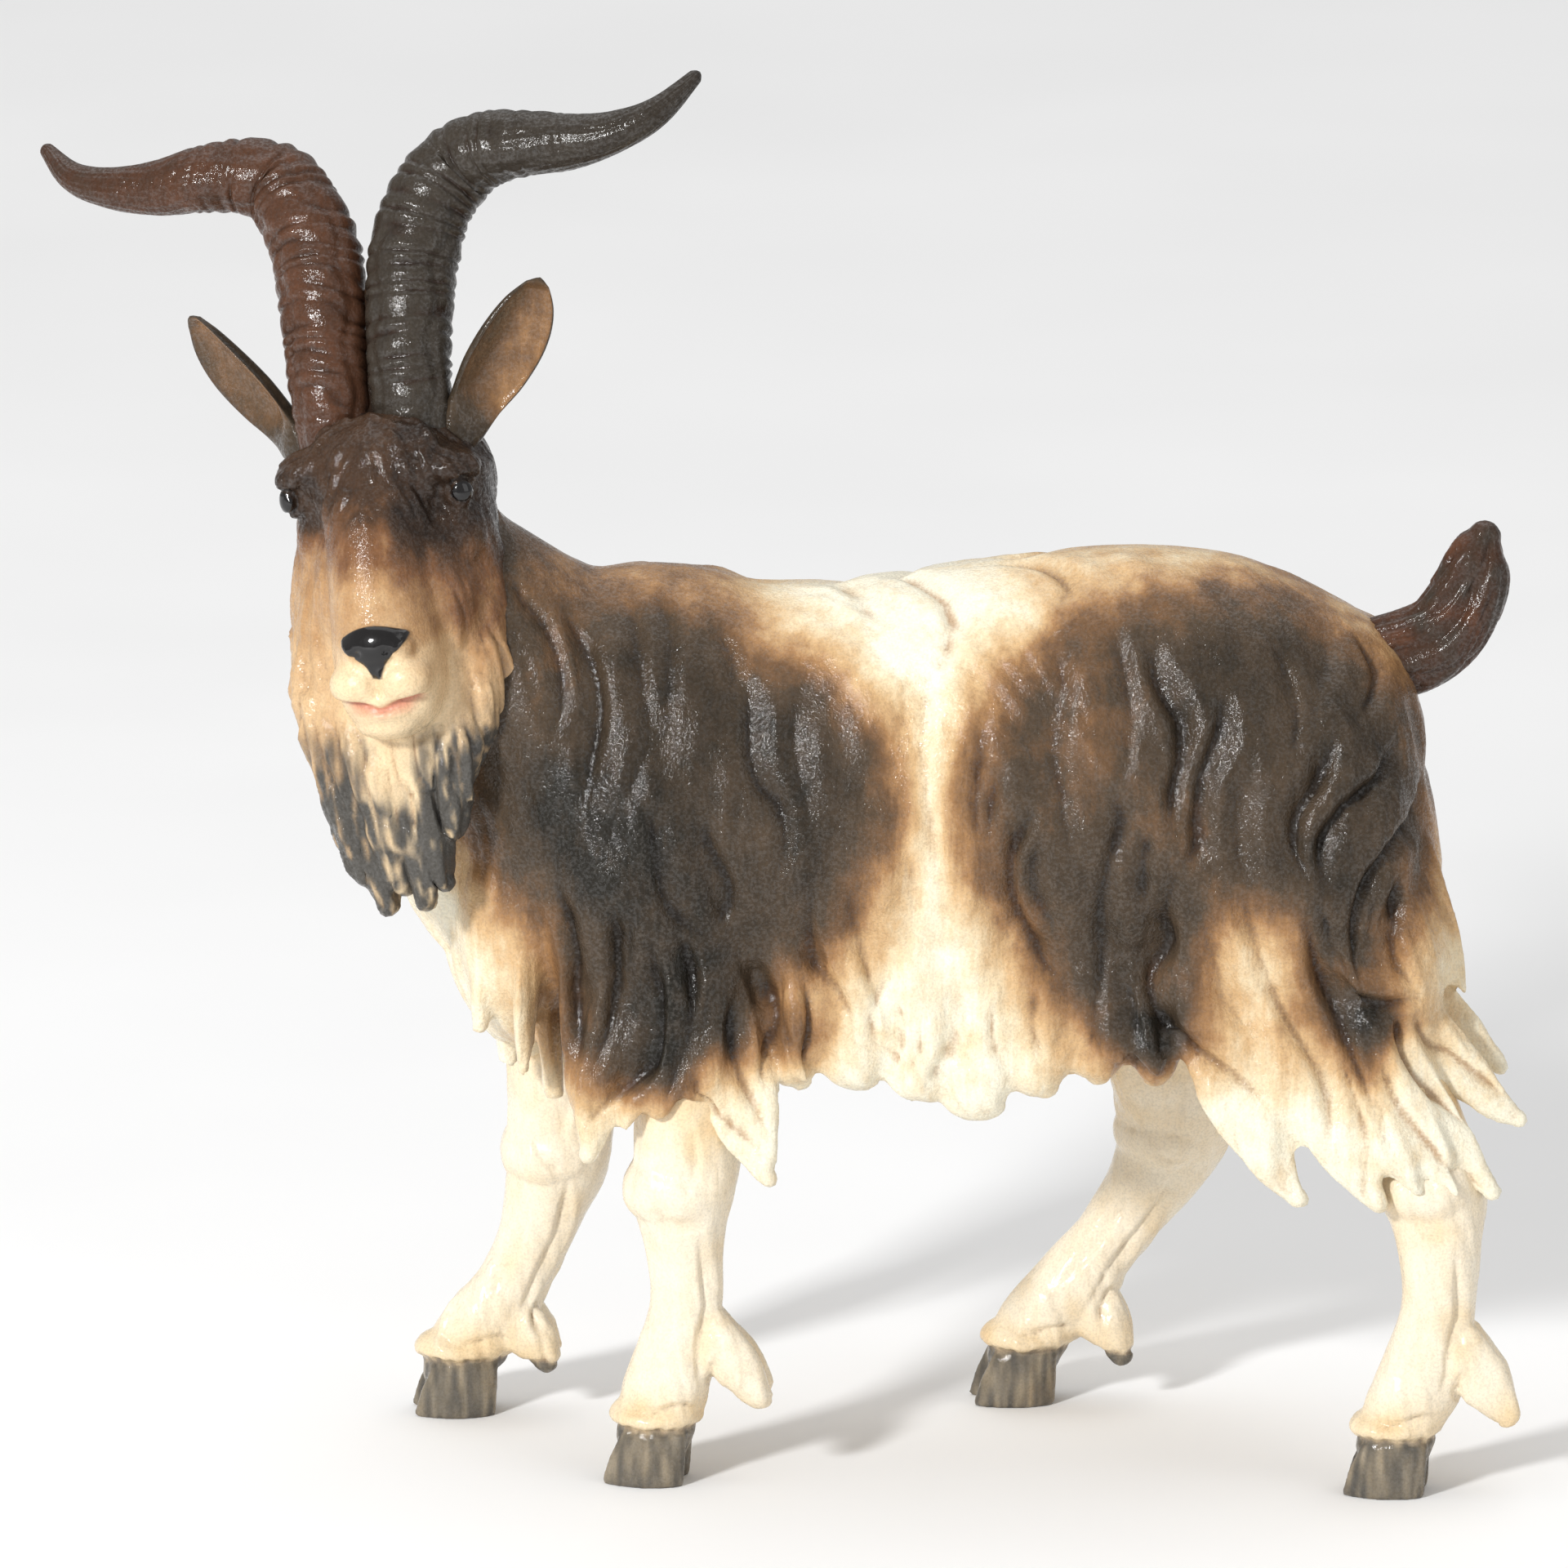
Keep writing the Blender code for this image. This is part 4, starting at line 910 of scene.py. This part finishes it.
def head_form():
    """The solid head in its own frame: skull, mask of hair, muzzle, brows, eyes, beard and neck stub."""
    bm = bmesh.new()
    add_ball(bm, (0.7, 1.2, 0.0), (8.0, 8.2, 6.9))
    add_limb(bm, HORN_WEB, across=(0, 1, 0))
    add_ball(bm, (1.0, -3.2, 2.0), (6.6, 4.7, 4.7))
    add_limb(bm, MASK, across=(1, 0, 0), sides=44, round_start=False)
    add_limb(bm, MUZZLE, across=(1, 0, 0), sides=36)
    add_ball(bm, (1.0, -9.8, -16.4), (3.2, 2.9, 1.8))
    add_ball(bm, (1.7, -11.9, -9.8), (2.8, 2.3, 2.0))
    for side, eye in EYE_CENTRES.items():
        add_ball(bm, (1.4 + side * 1.9, -11.7, -12.9), (2.6, 2.5, 2.1))
        add_ball(bm, (1.7 + side * 1.5, -12.0, -10.2), (1.8, 1.9, 1.3))
        add_ball(bm, (1.2 + side * 3.4, -4.2, -7.6), (3.4, 4.4, 7.0))
        brow = eye + Vector((side * -1.3, 0.9, 2.2))
        add_ball(bm, brow, (3.3, 3.3, 1.7), turn=(0, side * 14, 0))
        add_ball(bm, (0.9 + side * 4.6, -2.5, -3.4), (3.4, 3.4, 4.4))
        add_ball(bm, eye, [EYE_RADIUS] * 3)
    add_ball(bm, (1.4, -11.6, -15.5), (2.6, 1.8, 0.85))
    for root_x, root_z, tip_x, tip_z, width, sway in BEARD_LOCKS:
        add_lock(bm, (root_x, -6.2, root_z), (tip_x, -6.4, tip_z), width, 3.2, across=(1, 0, 0), sway=sway)
    for i in range(FORELOCKS):
        spread = (i - 4) / 4
        root = (1.0 + 3.6 * spread, -3.0, 6.6 - 0.8 * abs(spread))
        tip = (1.0 + 5.4 * spread, -7.6 + 1.8 * abs(spread), 3.4 - 1.4 * (i % 2))
        add_lock(bm, root, tip, 1.9, 2.2, across=(1, 0, 0), sway=0.3 * (-1) ** i)
    neck = bmesh.new()
    stations = [(x, y, z, wide - 1.6, deep - 1.6) for x, y, z, wide, deep in NECK[2:]]
    add_limb(neck, stations, across=(0, 1, 0))
    neck.transform(HEAD_PLACE.inverted())
    stub = bpy.data.meshes.new("stub")
    neck.to_mesh(stub)
    neck.free()
    bm.from_mesh(stub)
    return bm


def face_tone(skin, x, y, z):
    """The paint of the head: dark brow and sockets, rust cheeks, cream muzzle, darker towards the back.

    The side of the face at positive x is darker too, partly paint and partly painted shadow.
    """
    wander = skin.noise_at(2.2, 2.0) * 1.2 + skin.noise_at(0.8, 5.0, (1, 1, 3)) * 0.6
    down = z + wander
    centre = smoothstep(6.5, 2.5, np.abs(x - 1.2)) * smoothstep(-3.0, -6.0, y)
    tone = 0.84 - 0.16 * smoothstep(2.0, -2.0, down) - 0.28 * smoothstep(-1.0, -6.5, down)
    tone -= 0.12 * smoothstep(-7.0, -13.0, down) + 0.26 * centre * smoothstep(-9.6, -11.6, down)
    socket = smoothstep(3.6, 1.2, np.minimum(np.hypot(x - 7.3, z - 0.2), np.hypot(x + 5.5, z - 0.8)))
    tone += 0.28 * socket + 0.30 * smoothstep(-3.0, 2.0, y) * smoothstep(-18.0, -6.0, z)
    # Darker beside the bridge at positive x: partly darker paint, partly painted shadow.
    tone += 0.20 * smoothstep(3.2, 4.2, x) * smoothstep(8.8, 5.6, x) * smoothstep(-9.0, -3.0, z)
    # Darker on the cheek at positive x: partly paint, partly painted shadow.
    tone += 0.24 * smoothstep(4.0, 8.0, x) * smoothstep(-17.0, -11.0, z)
    return np.clip(tone, 0.03, 0.95)


def beard_grey(skin, x, y, z):
    """How grey the beard is: in streaks at its sides and ends."""
    streaks = 0.6 * skin.noise_at(1.0, 6.0, (1, 1, 4.5)) + 0.9 * skin.noise_at(0.5, 9.0, (1, 1, 5))
    apart = np.abs(x - 0.6 - 0.12 * (z + 15))
    flanks = smoothstep(0.4, 4.0, apart) * smoothstep(-14.5, -21.5, z) * np.where(x < 0.6, 0.78, 1.0)
    ends = smoothstep(-21.0, -25.5, z)
    share = flanks * 0.85 + ends * 0.7 + 0.18 * smoothstep(-16.0, -20.0, z)
    return np.clip(share * (0.85 + 0.9 * streaks), 0, 0.97) * smoothstep(2.0, 0.0, y)


def make_head(material):
    """The head with its hair, its carved face and its paint."""
    skin = Skin(head_form(), voxel=0.24, smoothing=12)
    local = skin.points
    x, y, z = local.T

    def hair(count, length, half_width, height, wanted):
        """Strands from seeds scattered where they are wanted, but not on the muzzle."""
        paths = []
        for _ in range(count):
            seed = skin.random_point()
            on_muzzle = abs(seed[0] - 1.3) < 4.8 and seed[1] < -6.0 and -18 < seed[2] < 0
            if on_muzzle or not wanted(seed):
                continue
            wide = random.uniform(*half_width)
            paths.append((skin.march(seed, head_flow, random.uniform(*length), 0.3), wide, height, 0.5))
        return skin.strands(paths, 0.3)

    coarse = hair(520, (5, 12), (0.6, 1.1), 0.62, lambda seed: seed[2] < -14 + 0.5 * abs(seed[0]))
    cheek = hair(200, (6, 14), (0.8, 1.2), 0.20, lambda seed: seed[2] < -2)
    middle = hair(500, (4, 9), (0.38, 0.6), 0.14, lambda seed: seed[2] < -4 or seed[2] > 3)
    fine = hair(1100, (2, 5), (0.26, 0.36), 0.08, lambda seed: True)
    brow = hair(420, (1.5, 4), (0.35, 0.6), 0.26, lambda seed: seed[2] > 0.5 and seed[1] < 0)
    height = coarse + cheek + middle + fine + brow
    # Cuts of the face: eye rims, nostrils, the line of the mouth and the groove of the lip.
    front = smoothstep(-8.0, -10.0, y)
    across = x - 1.4
    mouth_line = -14.85 + 0.03 * across**2 - 0.04 * across - 0.25 * bell(across, 0.7)
    mouth = bell(z - mouth_line, 0.28) * front * smoothstep(4.0, 3.2, np.abs(across))
    philtrum = bell(across, 0.3) * front * smoothstep(-14.4, -13.6, z) * smoothstep(-11.8, -12.4, z)
    nose_edge = nose_distance(x - NOSE_X, z - NOSE_Z) - 3.0 * smoothstep(-9.5, -8.5, y)
    nose = smoothstep(-0.2, 0.2, nose_edge)
    nostrils, eyes = np.zeros(len(x)), np.full(len(x), -9.0)
    for side, centre in EYE_CENTRES.items():
        lean = across - 0.4 - side * 1.35
        reach = np.sqrt((lean / 0.55) ** 2 + ((z + 10.3 + 0.35 * side * lean) / 0.3) ** 2)
        nostrils = np.maximum(nostrils, smoothstep(1.3, 0.5, reach) * front)
        cap = np.array(centre + EYE_RADIUS * Vector((side * 0.62, -0.78, 0)))
        off = (local - cap) / (1.0, 1.0, 0.78)
        eyes = np.maximum(eyes, 1.1 - np.linalg.norm(off, axis=1))
    rims = bell(eyes + 0.3, 0.22)
    eye = smoothstep(-0.15, 0.1, eyes)
    height = height * (1 - nose) * (1 - smoothstep(-0.8, -0.2, eyes)) - 0.2
    cut = height - 0.5 * mouth - 0.3 * philtrum - 0.3 * nostrils - 0.32 * rims
    skin.carve(cut + 0.3 * nose + 0.22 * eye)
    relief = height - skin.blurred(height, 10)
    groove = np.clip(0.36 - relief * 3.0, 0, 1) * (1 - nose) * (1 - eye)
    groove = np.clip(np.maximum(groove, mouth * 0.8 + rims * 0.9 + philtrum * 0.6), 0, 1)
    lip = bell(z - mouth_line + 0.5, 0.45) * front * smoothstep(3.4, 2.2, np.abs(across))
    fields = {
        "tone": face_tone(skin, x, y, z), "groove": groove, "grey": beard_grey(skin, x, y, z),
        "pink": np.clip(mouth * 0.7 + lip * 0.45, 0, 0.8), "nose": nose_edge, "eye": eyes,
    }
    place = np.array(HEAD_PLACE, np.float32)
    skin.points = skin.points @ place[:3, :3].T + place[:3, 3]
    skin.finish("head_carving", "head", material, fields)


def make_tube(points, wide, deep, sizes, angles):
    """A mesh of rings with a pole at each end. sizes are the two half sizes for each ring and angle."""
    rings, sides = len(points), len(angles)
    grid = (points[:, None] + wide[:, None] * (sizes[..., 0] * np.cos(angles))[..., None]
            + deep[:, None] * (sizes[..., 1] * np.sin(angles))[..., None])
    verts = np.vstack([grid.reshape(-1, 3), points[:1], points[-1:]])
    faces = []
    for i in range(rings - 1):
        for j in range(sides):
            k = (j + 1) % sides
            faces.append((i * sides + j, i * sides + k, (i + 1) * sides + k, (i + 1) * sides + j))
    last = (rings - 1) * sides
    for j in range(sides):
        k = (j + 1) % sides
        faces.append((rings * sides, k, j))
        faces.append((rings * sides + 1, last + j, last + k))
    return verts, faces


def place_tube(verts, faces, name, node, material, fields):
    """A tube of the head's frame as a piece. Each pole takes the value of the first or last point."""
    place = np.array(HEAD_PLACE)
    turned = verts @ place[:3, :3].T + place[:3, 3]
    mesh = bpy.data.meshes.new(name)
    mesh.from_pydata(((turned + LAYOUT_ORIGIN) * MM).tolist(), [], faces)
    bm = bmesh.new()
    bm.from_mesh(mesh)
    bmesh.ops.recalc_face_normals(bm, faces=bm.faces)
    bm.to_mesh(mesh)
    bm.free()
    flat = {key: values.ravel() for key, values in fields.items()}
    fields = {key: np.append(values, (values[0], values[-1])) for key, values in flat.items()}
    make_piece(mesh, name, node, material, fields)


def horn_piece(word, side, material):
    """A horn with slanting growth rings from its root to past its bend, and a smooth tip."""
    stations = [(side * left, back, up, *halves) for left, back, up, *halves in HORN]
    points, _, wide, deep, halves = limb_frames(stations, (0, 1, 0), 36)
    angles = np.arange(HORN_SIDES) * 2 * math.pi / HORN_SIDES
    run = np.concatenate([[0], np.cumsum(np.linalg.norm(np.diff(points, axis=0), axis=1))])[:, None]
    share = run / run[-1]
    slant = 0.55 * np.cos(angles - side * 0.6) + 0.18 * np.sin(2 * angles + side)
    uneven = 0.35 * np.sin(run * 0.9 + side) + 0.25 * np.sin(run * 2.1)
    phase = (run + uneven) / RING_SPACING + slant
    ring = 1 - np.abs((phase % 1.0) * 2 - 1) ** 1.6
    patchy = np.sin(angles * 2 + run * 1.7) * np.sin(angles * 5 - run * 0.9 + side)
    strength = RING_HEIGHT * smoothstep(0.80, 0.5, share) * (0.75 + 0.25 * np.sin(angles * 3 + run * 0.7))
    strength = strength * smoothstep(0.02, 0.12, share) * (0.85 + 0.35 * patchy)
    lines = 0.05 * np.sin(angles * 19 + np.sin(run * 0.8) * 2) * smoothstep(0.45, 0.7, share)
    furrow = sum(bell(angles - place + 0.12 * np.sin(run), 0.16) for place in HORN_FURROWS)
    bumps = strength * (ring - 0.62) + lines - 0.22 * furrow * smoothstep(0.75, 0.5, share)
    thinner = (halves.min(1) / 3.3)[:, None, None] ** 0.5
    sizes = np.maximum(halves[:, None] + bumps[..., None] * thinner, 0.06)
    close = np.clip((run[-1] - run) / 0.5, 0, 1) ** 0.5
    sizes = sizes * np.maximum(close, 0.02)[..., None]
    verts, faces = make_tube(points, wide, deep, sizes, angles)
    groove = np.clip(0.95 - ring * 1.1, 0, 1) * strength / RING_HEIGHT + 0.2
    tone = np.full(groove.shape, 0.48 + 0.20 * side) + 0.12 * smoothstep(0.5, 1.0, share)
    fields = {"tone": tone, "groove": np.clip(groove, 0, 1)}
    place_tube(verts, faces, f"horn_{word}_ringed", "horn_" + word, material, fields)


def ear_piece(word, side, material):
    """A leaf-shaped ear, hollowed on its front."""
    stations = [(side * left, back, up, *halves) for left, back, up, *halves in EAR]
    points, _, wide, deep, halves = limb_frames(stations, EAR_ACROSS[side], 16)
    facing = np.sign((deep @ np.array((0, -1.0, 0))).mean())
    angles = np.arange(EAR_SIDES) * 2 * math.pi / EAR_SIDES
    run = np.linspace(0, 1, len(points))[:, None]
    hollow = smoothstep(0.08, 0.3, run) * smoothstep(1.0, 0.9, run)
    inner = np.clip(np.sin(angles) * facing, 0, 1)
    dish = 1 - 1.62 * inner**0.7 * hollow
    folds = 1 + 0.05 * np.sin(angles * 7) * hollow
    sizes = np.stack([halves[:, :1] * folds, halves[:, 1:] * dish], axis=-1)
    close = np.clip((1 - run) / 0.05, 0, 1) ** 0.5
    sizes = sizes * np.maximum(close, 0.05)[..., None]
    verts, faces = make_tube(points, wide, deep, sizes, angles)
    inside = (inner > 0.25) * hollow
    tone = 0.86 - inside * (0.26 + 0.10 * (np.cos(angles) * side)) - 0.08 * smoothstep(0.85, 1.0, run)
    fields = {"tone": tone, "groove": 0.25 + 0.5 * inside * smoothstep(0.85, 0.2, inner)}
    place_tube(verts, faces, f"ear_{word}_leaf", "ear_" + word, material, fields)


def make_tail(material):
    """The raised tail, furrowed along its sides."""
    bm = bmesh.new()
    root = np.array(TAIL_ROOT)
    stations = [(*(root + (back, 0, up)), *halves) for back, up, *halves in TAIL]
    add_limb(bm, stations, across=(0, 1, 0), sides=32)
    skin = Skin(bm, voxel=0.2, smoothing=3)

    def flow(point):
        """Along the tail, from the rump to the tip."""
        back = point.x - TAIL_ROOT[0]
        return (1.0, 0.0, 0.15 + 0.06 * back * back / 4 + 0.9 * max(0.0, back - 5) / 3)

    paths = []
    for _ in range(150):
        path = skin.march(skin.random_point(), flow, random.uniform(4, 9), 0.3)
        paths.append((path, random.uniform(0.35, 0.75), 0.36, 0.6))
    height = skin.strands(paths, 0.3)
    furrows = []
    for side in (-1, 1):
        line = [(root[0] + back, side * 2.6, root[2] + up) for back, up in TAIL_FURROW]
        furrows.append((line, 1.1, 0.7))
    height += skin.cuts(furrows)
    skin.carve(height - 0.1)
    relief = height - skin.blurred(height, 10)
    fields = {"tone": 0.42 + 0.25 * skin.noise_at(2.0), "groove": np.clip(0.4 - relief * 3.5, 0, 1)}
    skin.finish("tail_carving", "tail", material, fields)


# One toe, from the sole up: height, share of the length and of the width, shift back.
TOE = [
    (0, 0.97, 0.96, 0), (0.25, 1, 1, 0), (2.2, 0.93, 0.96, 0.35), (HOOF_HEIGHT - 0.4, 0.8, 0.86, 0.85),
    (HOOF_HEIGHT + 0.2, 0.66, 0.7, 1),
]
TOE_SIDES = 28


def add_toe(bm, side, place):
    """Half of a cloven hoof."""
    rings = []
    for height, length, width, back in TOE:
        ring = []
        for a in np.arange(TOE_SIDES) * 2 * math.pi / TOE_SIDES:
            x = -math.cos(a) * HOOF_LENGTH / 2 * length + back
            blunt = 1 - 0.25 * max(0.0, math.cos(a))
            y = math.sin(a) * TOE_WIDTH / 2 * width * blunt + side * (TOE_WIDTH + TOE_GAP) / 2
            ring.append(place @ Vector((x, y, height)))
        rings.append(ring)
    add_rings(bm, rings)


# Grooves on a leg: distance behind its middle line and height, with half width and depth.
LEG_CUTS = [
    ([(1.2, 20.5), (1.5, 16), (1.4, 12), (1.9, 8.6)], 0.7, 0.42),
    ([(-1.2, 18), (-1, 14), (-1.4, 10)], 0.6, 0.25), ([(-2.2, 24), (-1, 21.6), (1.4, 21.2)], 0.7, 0.3),
    ([(-3.4, 7), (-1.2, 6.2), (1.4, 6.8), (3, 6.2)], 0.55, 0.38),
    ([(2.6, 10.4), (3.2, 8.4), (4.4, 7)], 0.6, 0.5), ([(0.4, 30), (0.8, 27), (0.2, 24)], 0.8, 0.3),
]


def leg_cuts(skin, hoof_x, hoof_y, line):
    """Tendons and creases, on both sides of a leg."""
    heights, middles = [row[2] for row in line][::-1], [row[0] for row in line][::-1]
    paths = []
    for table, half_width, depth in LEG_CUTS:
        for side in (-1, 1):
            path = []
            for back, height, _ in interpolated([(back, height, 0) for back, height in table], 4):
                middle = hoof_x + float(np.interp(height, heights, middles))
                start = Vector((middle + back, hoof_y + side * 12, height))
                hit = skin.surface.ray_cast(start, Vector((0, -side, 0)))[0]
                if hit:
                    path.append(tuple(hit))
            if len(path) > 4:
                paths.append((path, half_width, depth))
    return paths


def make_leg(name, material):
    """A leg with its knee, dewclaws and cloven hoof."""
    (hoof_x, hoof_y), yaw, line, ((root_x, root_z), (tip_x, tip_z)) = LEGS[name]
    bm = bmesh.new()
    limb = [(hoof_x + x, hoof_y + y, z, *halves) for x, y, z, *halves in line]
    add_limb(bm, limb, across=(0, 1, 0), sides=32)
    place = Matrix.Translation((hoof_x, hoof_y, 0)) @ Matrix.Rotation(math.radians(yaw), 4, "Z")
    add_ball(bm, (limb[-1][0] + 0.2, hoof_y, 5.4), (3.7, 3.3, 1.7))
    knee_x, knee_y, knee_z, wide, deep = limb[2]
    add_ball(bm, (knee_x - 0.5, knee_y, knee_z + 0.6), (wide + 0.5, deep + 0.3, 3.4))
    for side in (-1, 1):
        add_toe(bm, side, place)
        stations = [
            (hoof_x + root_x, hoof_y + side, root_z, 1.5, 2.7),
            (hoof_x + (root_x + tip_x) / 2 + 0.4, hoof_y + side * 1.6, (root_z + tip_z) / 2, 1.3, 2.0),
            (hoof_x + tip_x, hoof_y + side * 1.9, tip_z, 0.9, 1.0),
        ]
        add_limb(bm, stations, across=(0, 1, 0), sides=20)
    skin = Skin(bm, voxel=0.22, smoothing=4)

    def flow(point):
        """Down the leg and a little back."""
        return (0.25, 0.0, -1.0)

    def hairs(count, low, high, length, half_width, height):
        """Strands from seeds scattered between two heights."""
        paths = []
        for _ in range(count):
            seed = skin.random_point()
            if low < seed[2] < high:
                path = skin.march(seed, flow, random.uniform(*length), 0.3)
                paths.append((path, random.uniform(*half_width), height, 0.4))
        return skin.strands(paths, 0.3)

    height = hairs(70, 6.5, 14, (3, 6), (0.5, 0.9), 0.22) + hairs(160, 6, 34, (3, 8), (0.4, 0.8), 0.10)
    facets = 0.34 * np.abs(skin.noise_at(4.2, 1.0, (1, 1, 2.2)))
    facets += 0.05 * np.abs(skin.noise_at(1.9, 4.0, (1, 1, 2)))
    facets += skin.cuts(leg_cuts(skin, hoof_x, hoof_y, line)) - 0.1
    z = skin.points[:, 2]
    above = smoothstep(0.6, 3.0, z)
    edge = HOOF_HEIGHT + 0.35 * skin.noise_at(0.8, 8.0)
    hoof = smoothstep(edge + 0.35, edge - 0.35, z)
    skin.carve((height + facets) * above * (1 - hoof * 0.7) - 0.25 * bell(z - edge, 0.3))
    skin.points[:, 2] = np.maximum(skin.points[:, 2], 0)
    z = skin.points[:, 2]
    relief = height + facets - skin.blurred(height + facets, 14)
    groove = np.clip(0.22 - relief * 2.4, 0, 1) + 0.5 * bell(z - edge, 0.45)
    tone = 0.06 + 0.16 * smoothstep(0.0, 0.6, skin.noise_at(4.0, 12.0)) + 0.30 * smoothstep(26, 33, z)
    tone += 0.22 * smoothstep(9.0, 5.0, z)
    streaks = 0.5 + 0.5 * skin.noise_at(0.55, 3.0, (1, 1, 6))
    hoof = hoof * (0.55 + 0.45 * streaks)
    fields = {"tone": np.clip(tone, 0, 1), "groove": np.clip(groove, 0, 1), "hoof": hoof}
    skin.finish(name + "_carving", name, material, fields)


# The room


def make_floor():
    """A wide pale disc under the figure, finer towards its middle."""
    bm = bmesh.new()
    angles = np.arange(FLOOR_SIDES) * math.pi / (FLOOR_SIDES / 2)
    rings = [
        [bm.verts.new((reach * math.cos(a), reach * math.sin(a), 0)) for a in angles]
        for reach in np.geomspace(*FLOOR_RINGS)
    ]
    bm.faces.new(rings[0])
    for low, high in zip(rings, rings[1:]):
        for i in range(FLOOR_SIDES):
            j = (i + 1) % FLOOR_SIDES
            bm.faces.new((low[i], high[i], high[j], low[j]))
    mesh = bpy.data.meshes.new("floor")
    bm.to_mesh(mesh)
    bm.free()
    mesh.shade_smooth()
    floor = bpy.data.objects.new("floor", mesh)
    bpy.context.collection.objects.link(floor)
    n = Nodes("pale_floor")
    n.feed(n.shader.inputs["Base Color"], n.ramp(n.noise(60, detail=2), FLOOR_STOPS))
    n.shader.inputs["Roughness"].default_value = 0.9
    mesh.materials.append(n.material)


def place_facing(obj, place, direction):
    """Puts a light or a camera at a place and turns it to a direction."""
    obj.location = place
    obj.rotation_euler = direction.to_track_quat("-Z", "Y").to_euler()
    bpy.context.collection.objects.link(obj)


def make_room():
    """A pale floor, a white sky, soft lights and the camera."""
    make_floor()
    world = bpy.data.worlds.new("studio")
    world.use_nodes = True
    sky = world.node_tree.nodes["Background"]
    sky.inputs["Color"].default_value = (1, 1, 1, 1)
    sky.inputs["Strength"].default_value = SKY_STRENGTH
    bpy.context.scene.world = world

    for name, (place, size, power) in LIGHTS.items():
        light = bpy.data.lights.new(name, "AREA")
        light.shape = "RECTANGLE"
        light.size, light.size_y = size
        light.energy = power
        place_facing(bpy.data.objects.new(name, light), place, LIGHTS_TARGET - Vector(place))

    lens = bpy.data.cameras.new("camera")
    lens.lens = CAMERA_LENS
    lens.sensor_width = 36
    lens.clip_start, lens.clip_end = 0.05, 10
    camera = bpy.data.objects.new("camera", lens)
    elevation = math.radians(CAMERA_ELEVATION)
    away = Vector((0, -math.cos(elevation), math.sin(elevation)))
    place_facing(camera, CAMERA_TARGET + away * CAMERA_DISTANCE, -away)
    bpy.context.scene.camera = camera
    bpy.context.scene.view_settings.view_transform = "Standard"


def main():
    materials = paints()
    make_torso(materials["coat"])
    make_head(materials["face"])
    for side, word in ((1, "left"), (-1, "right")):
        horn_piece(word, side, materials["horn"])
        ear_piece(word, side, materials["ear"])
    make_tail(materials["horn"])
    for name in LEGS:
        make_leg(name, materials["leg"])
    for name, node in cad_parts.items():
        if name.endswith("_dowel"):
            node.data.materials.clear()
            node.data.materials.append(materials["beech"])
    make_room()


main()
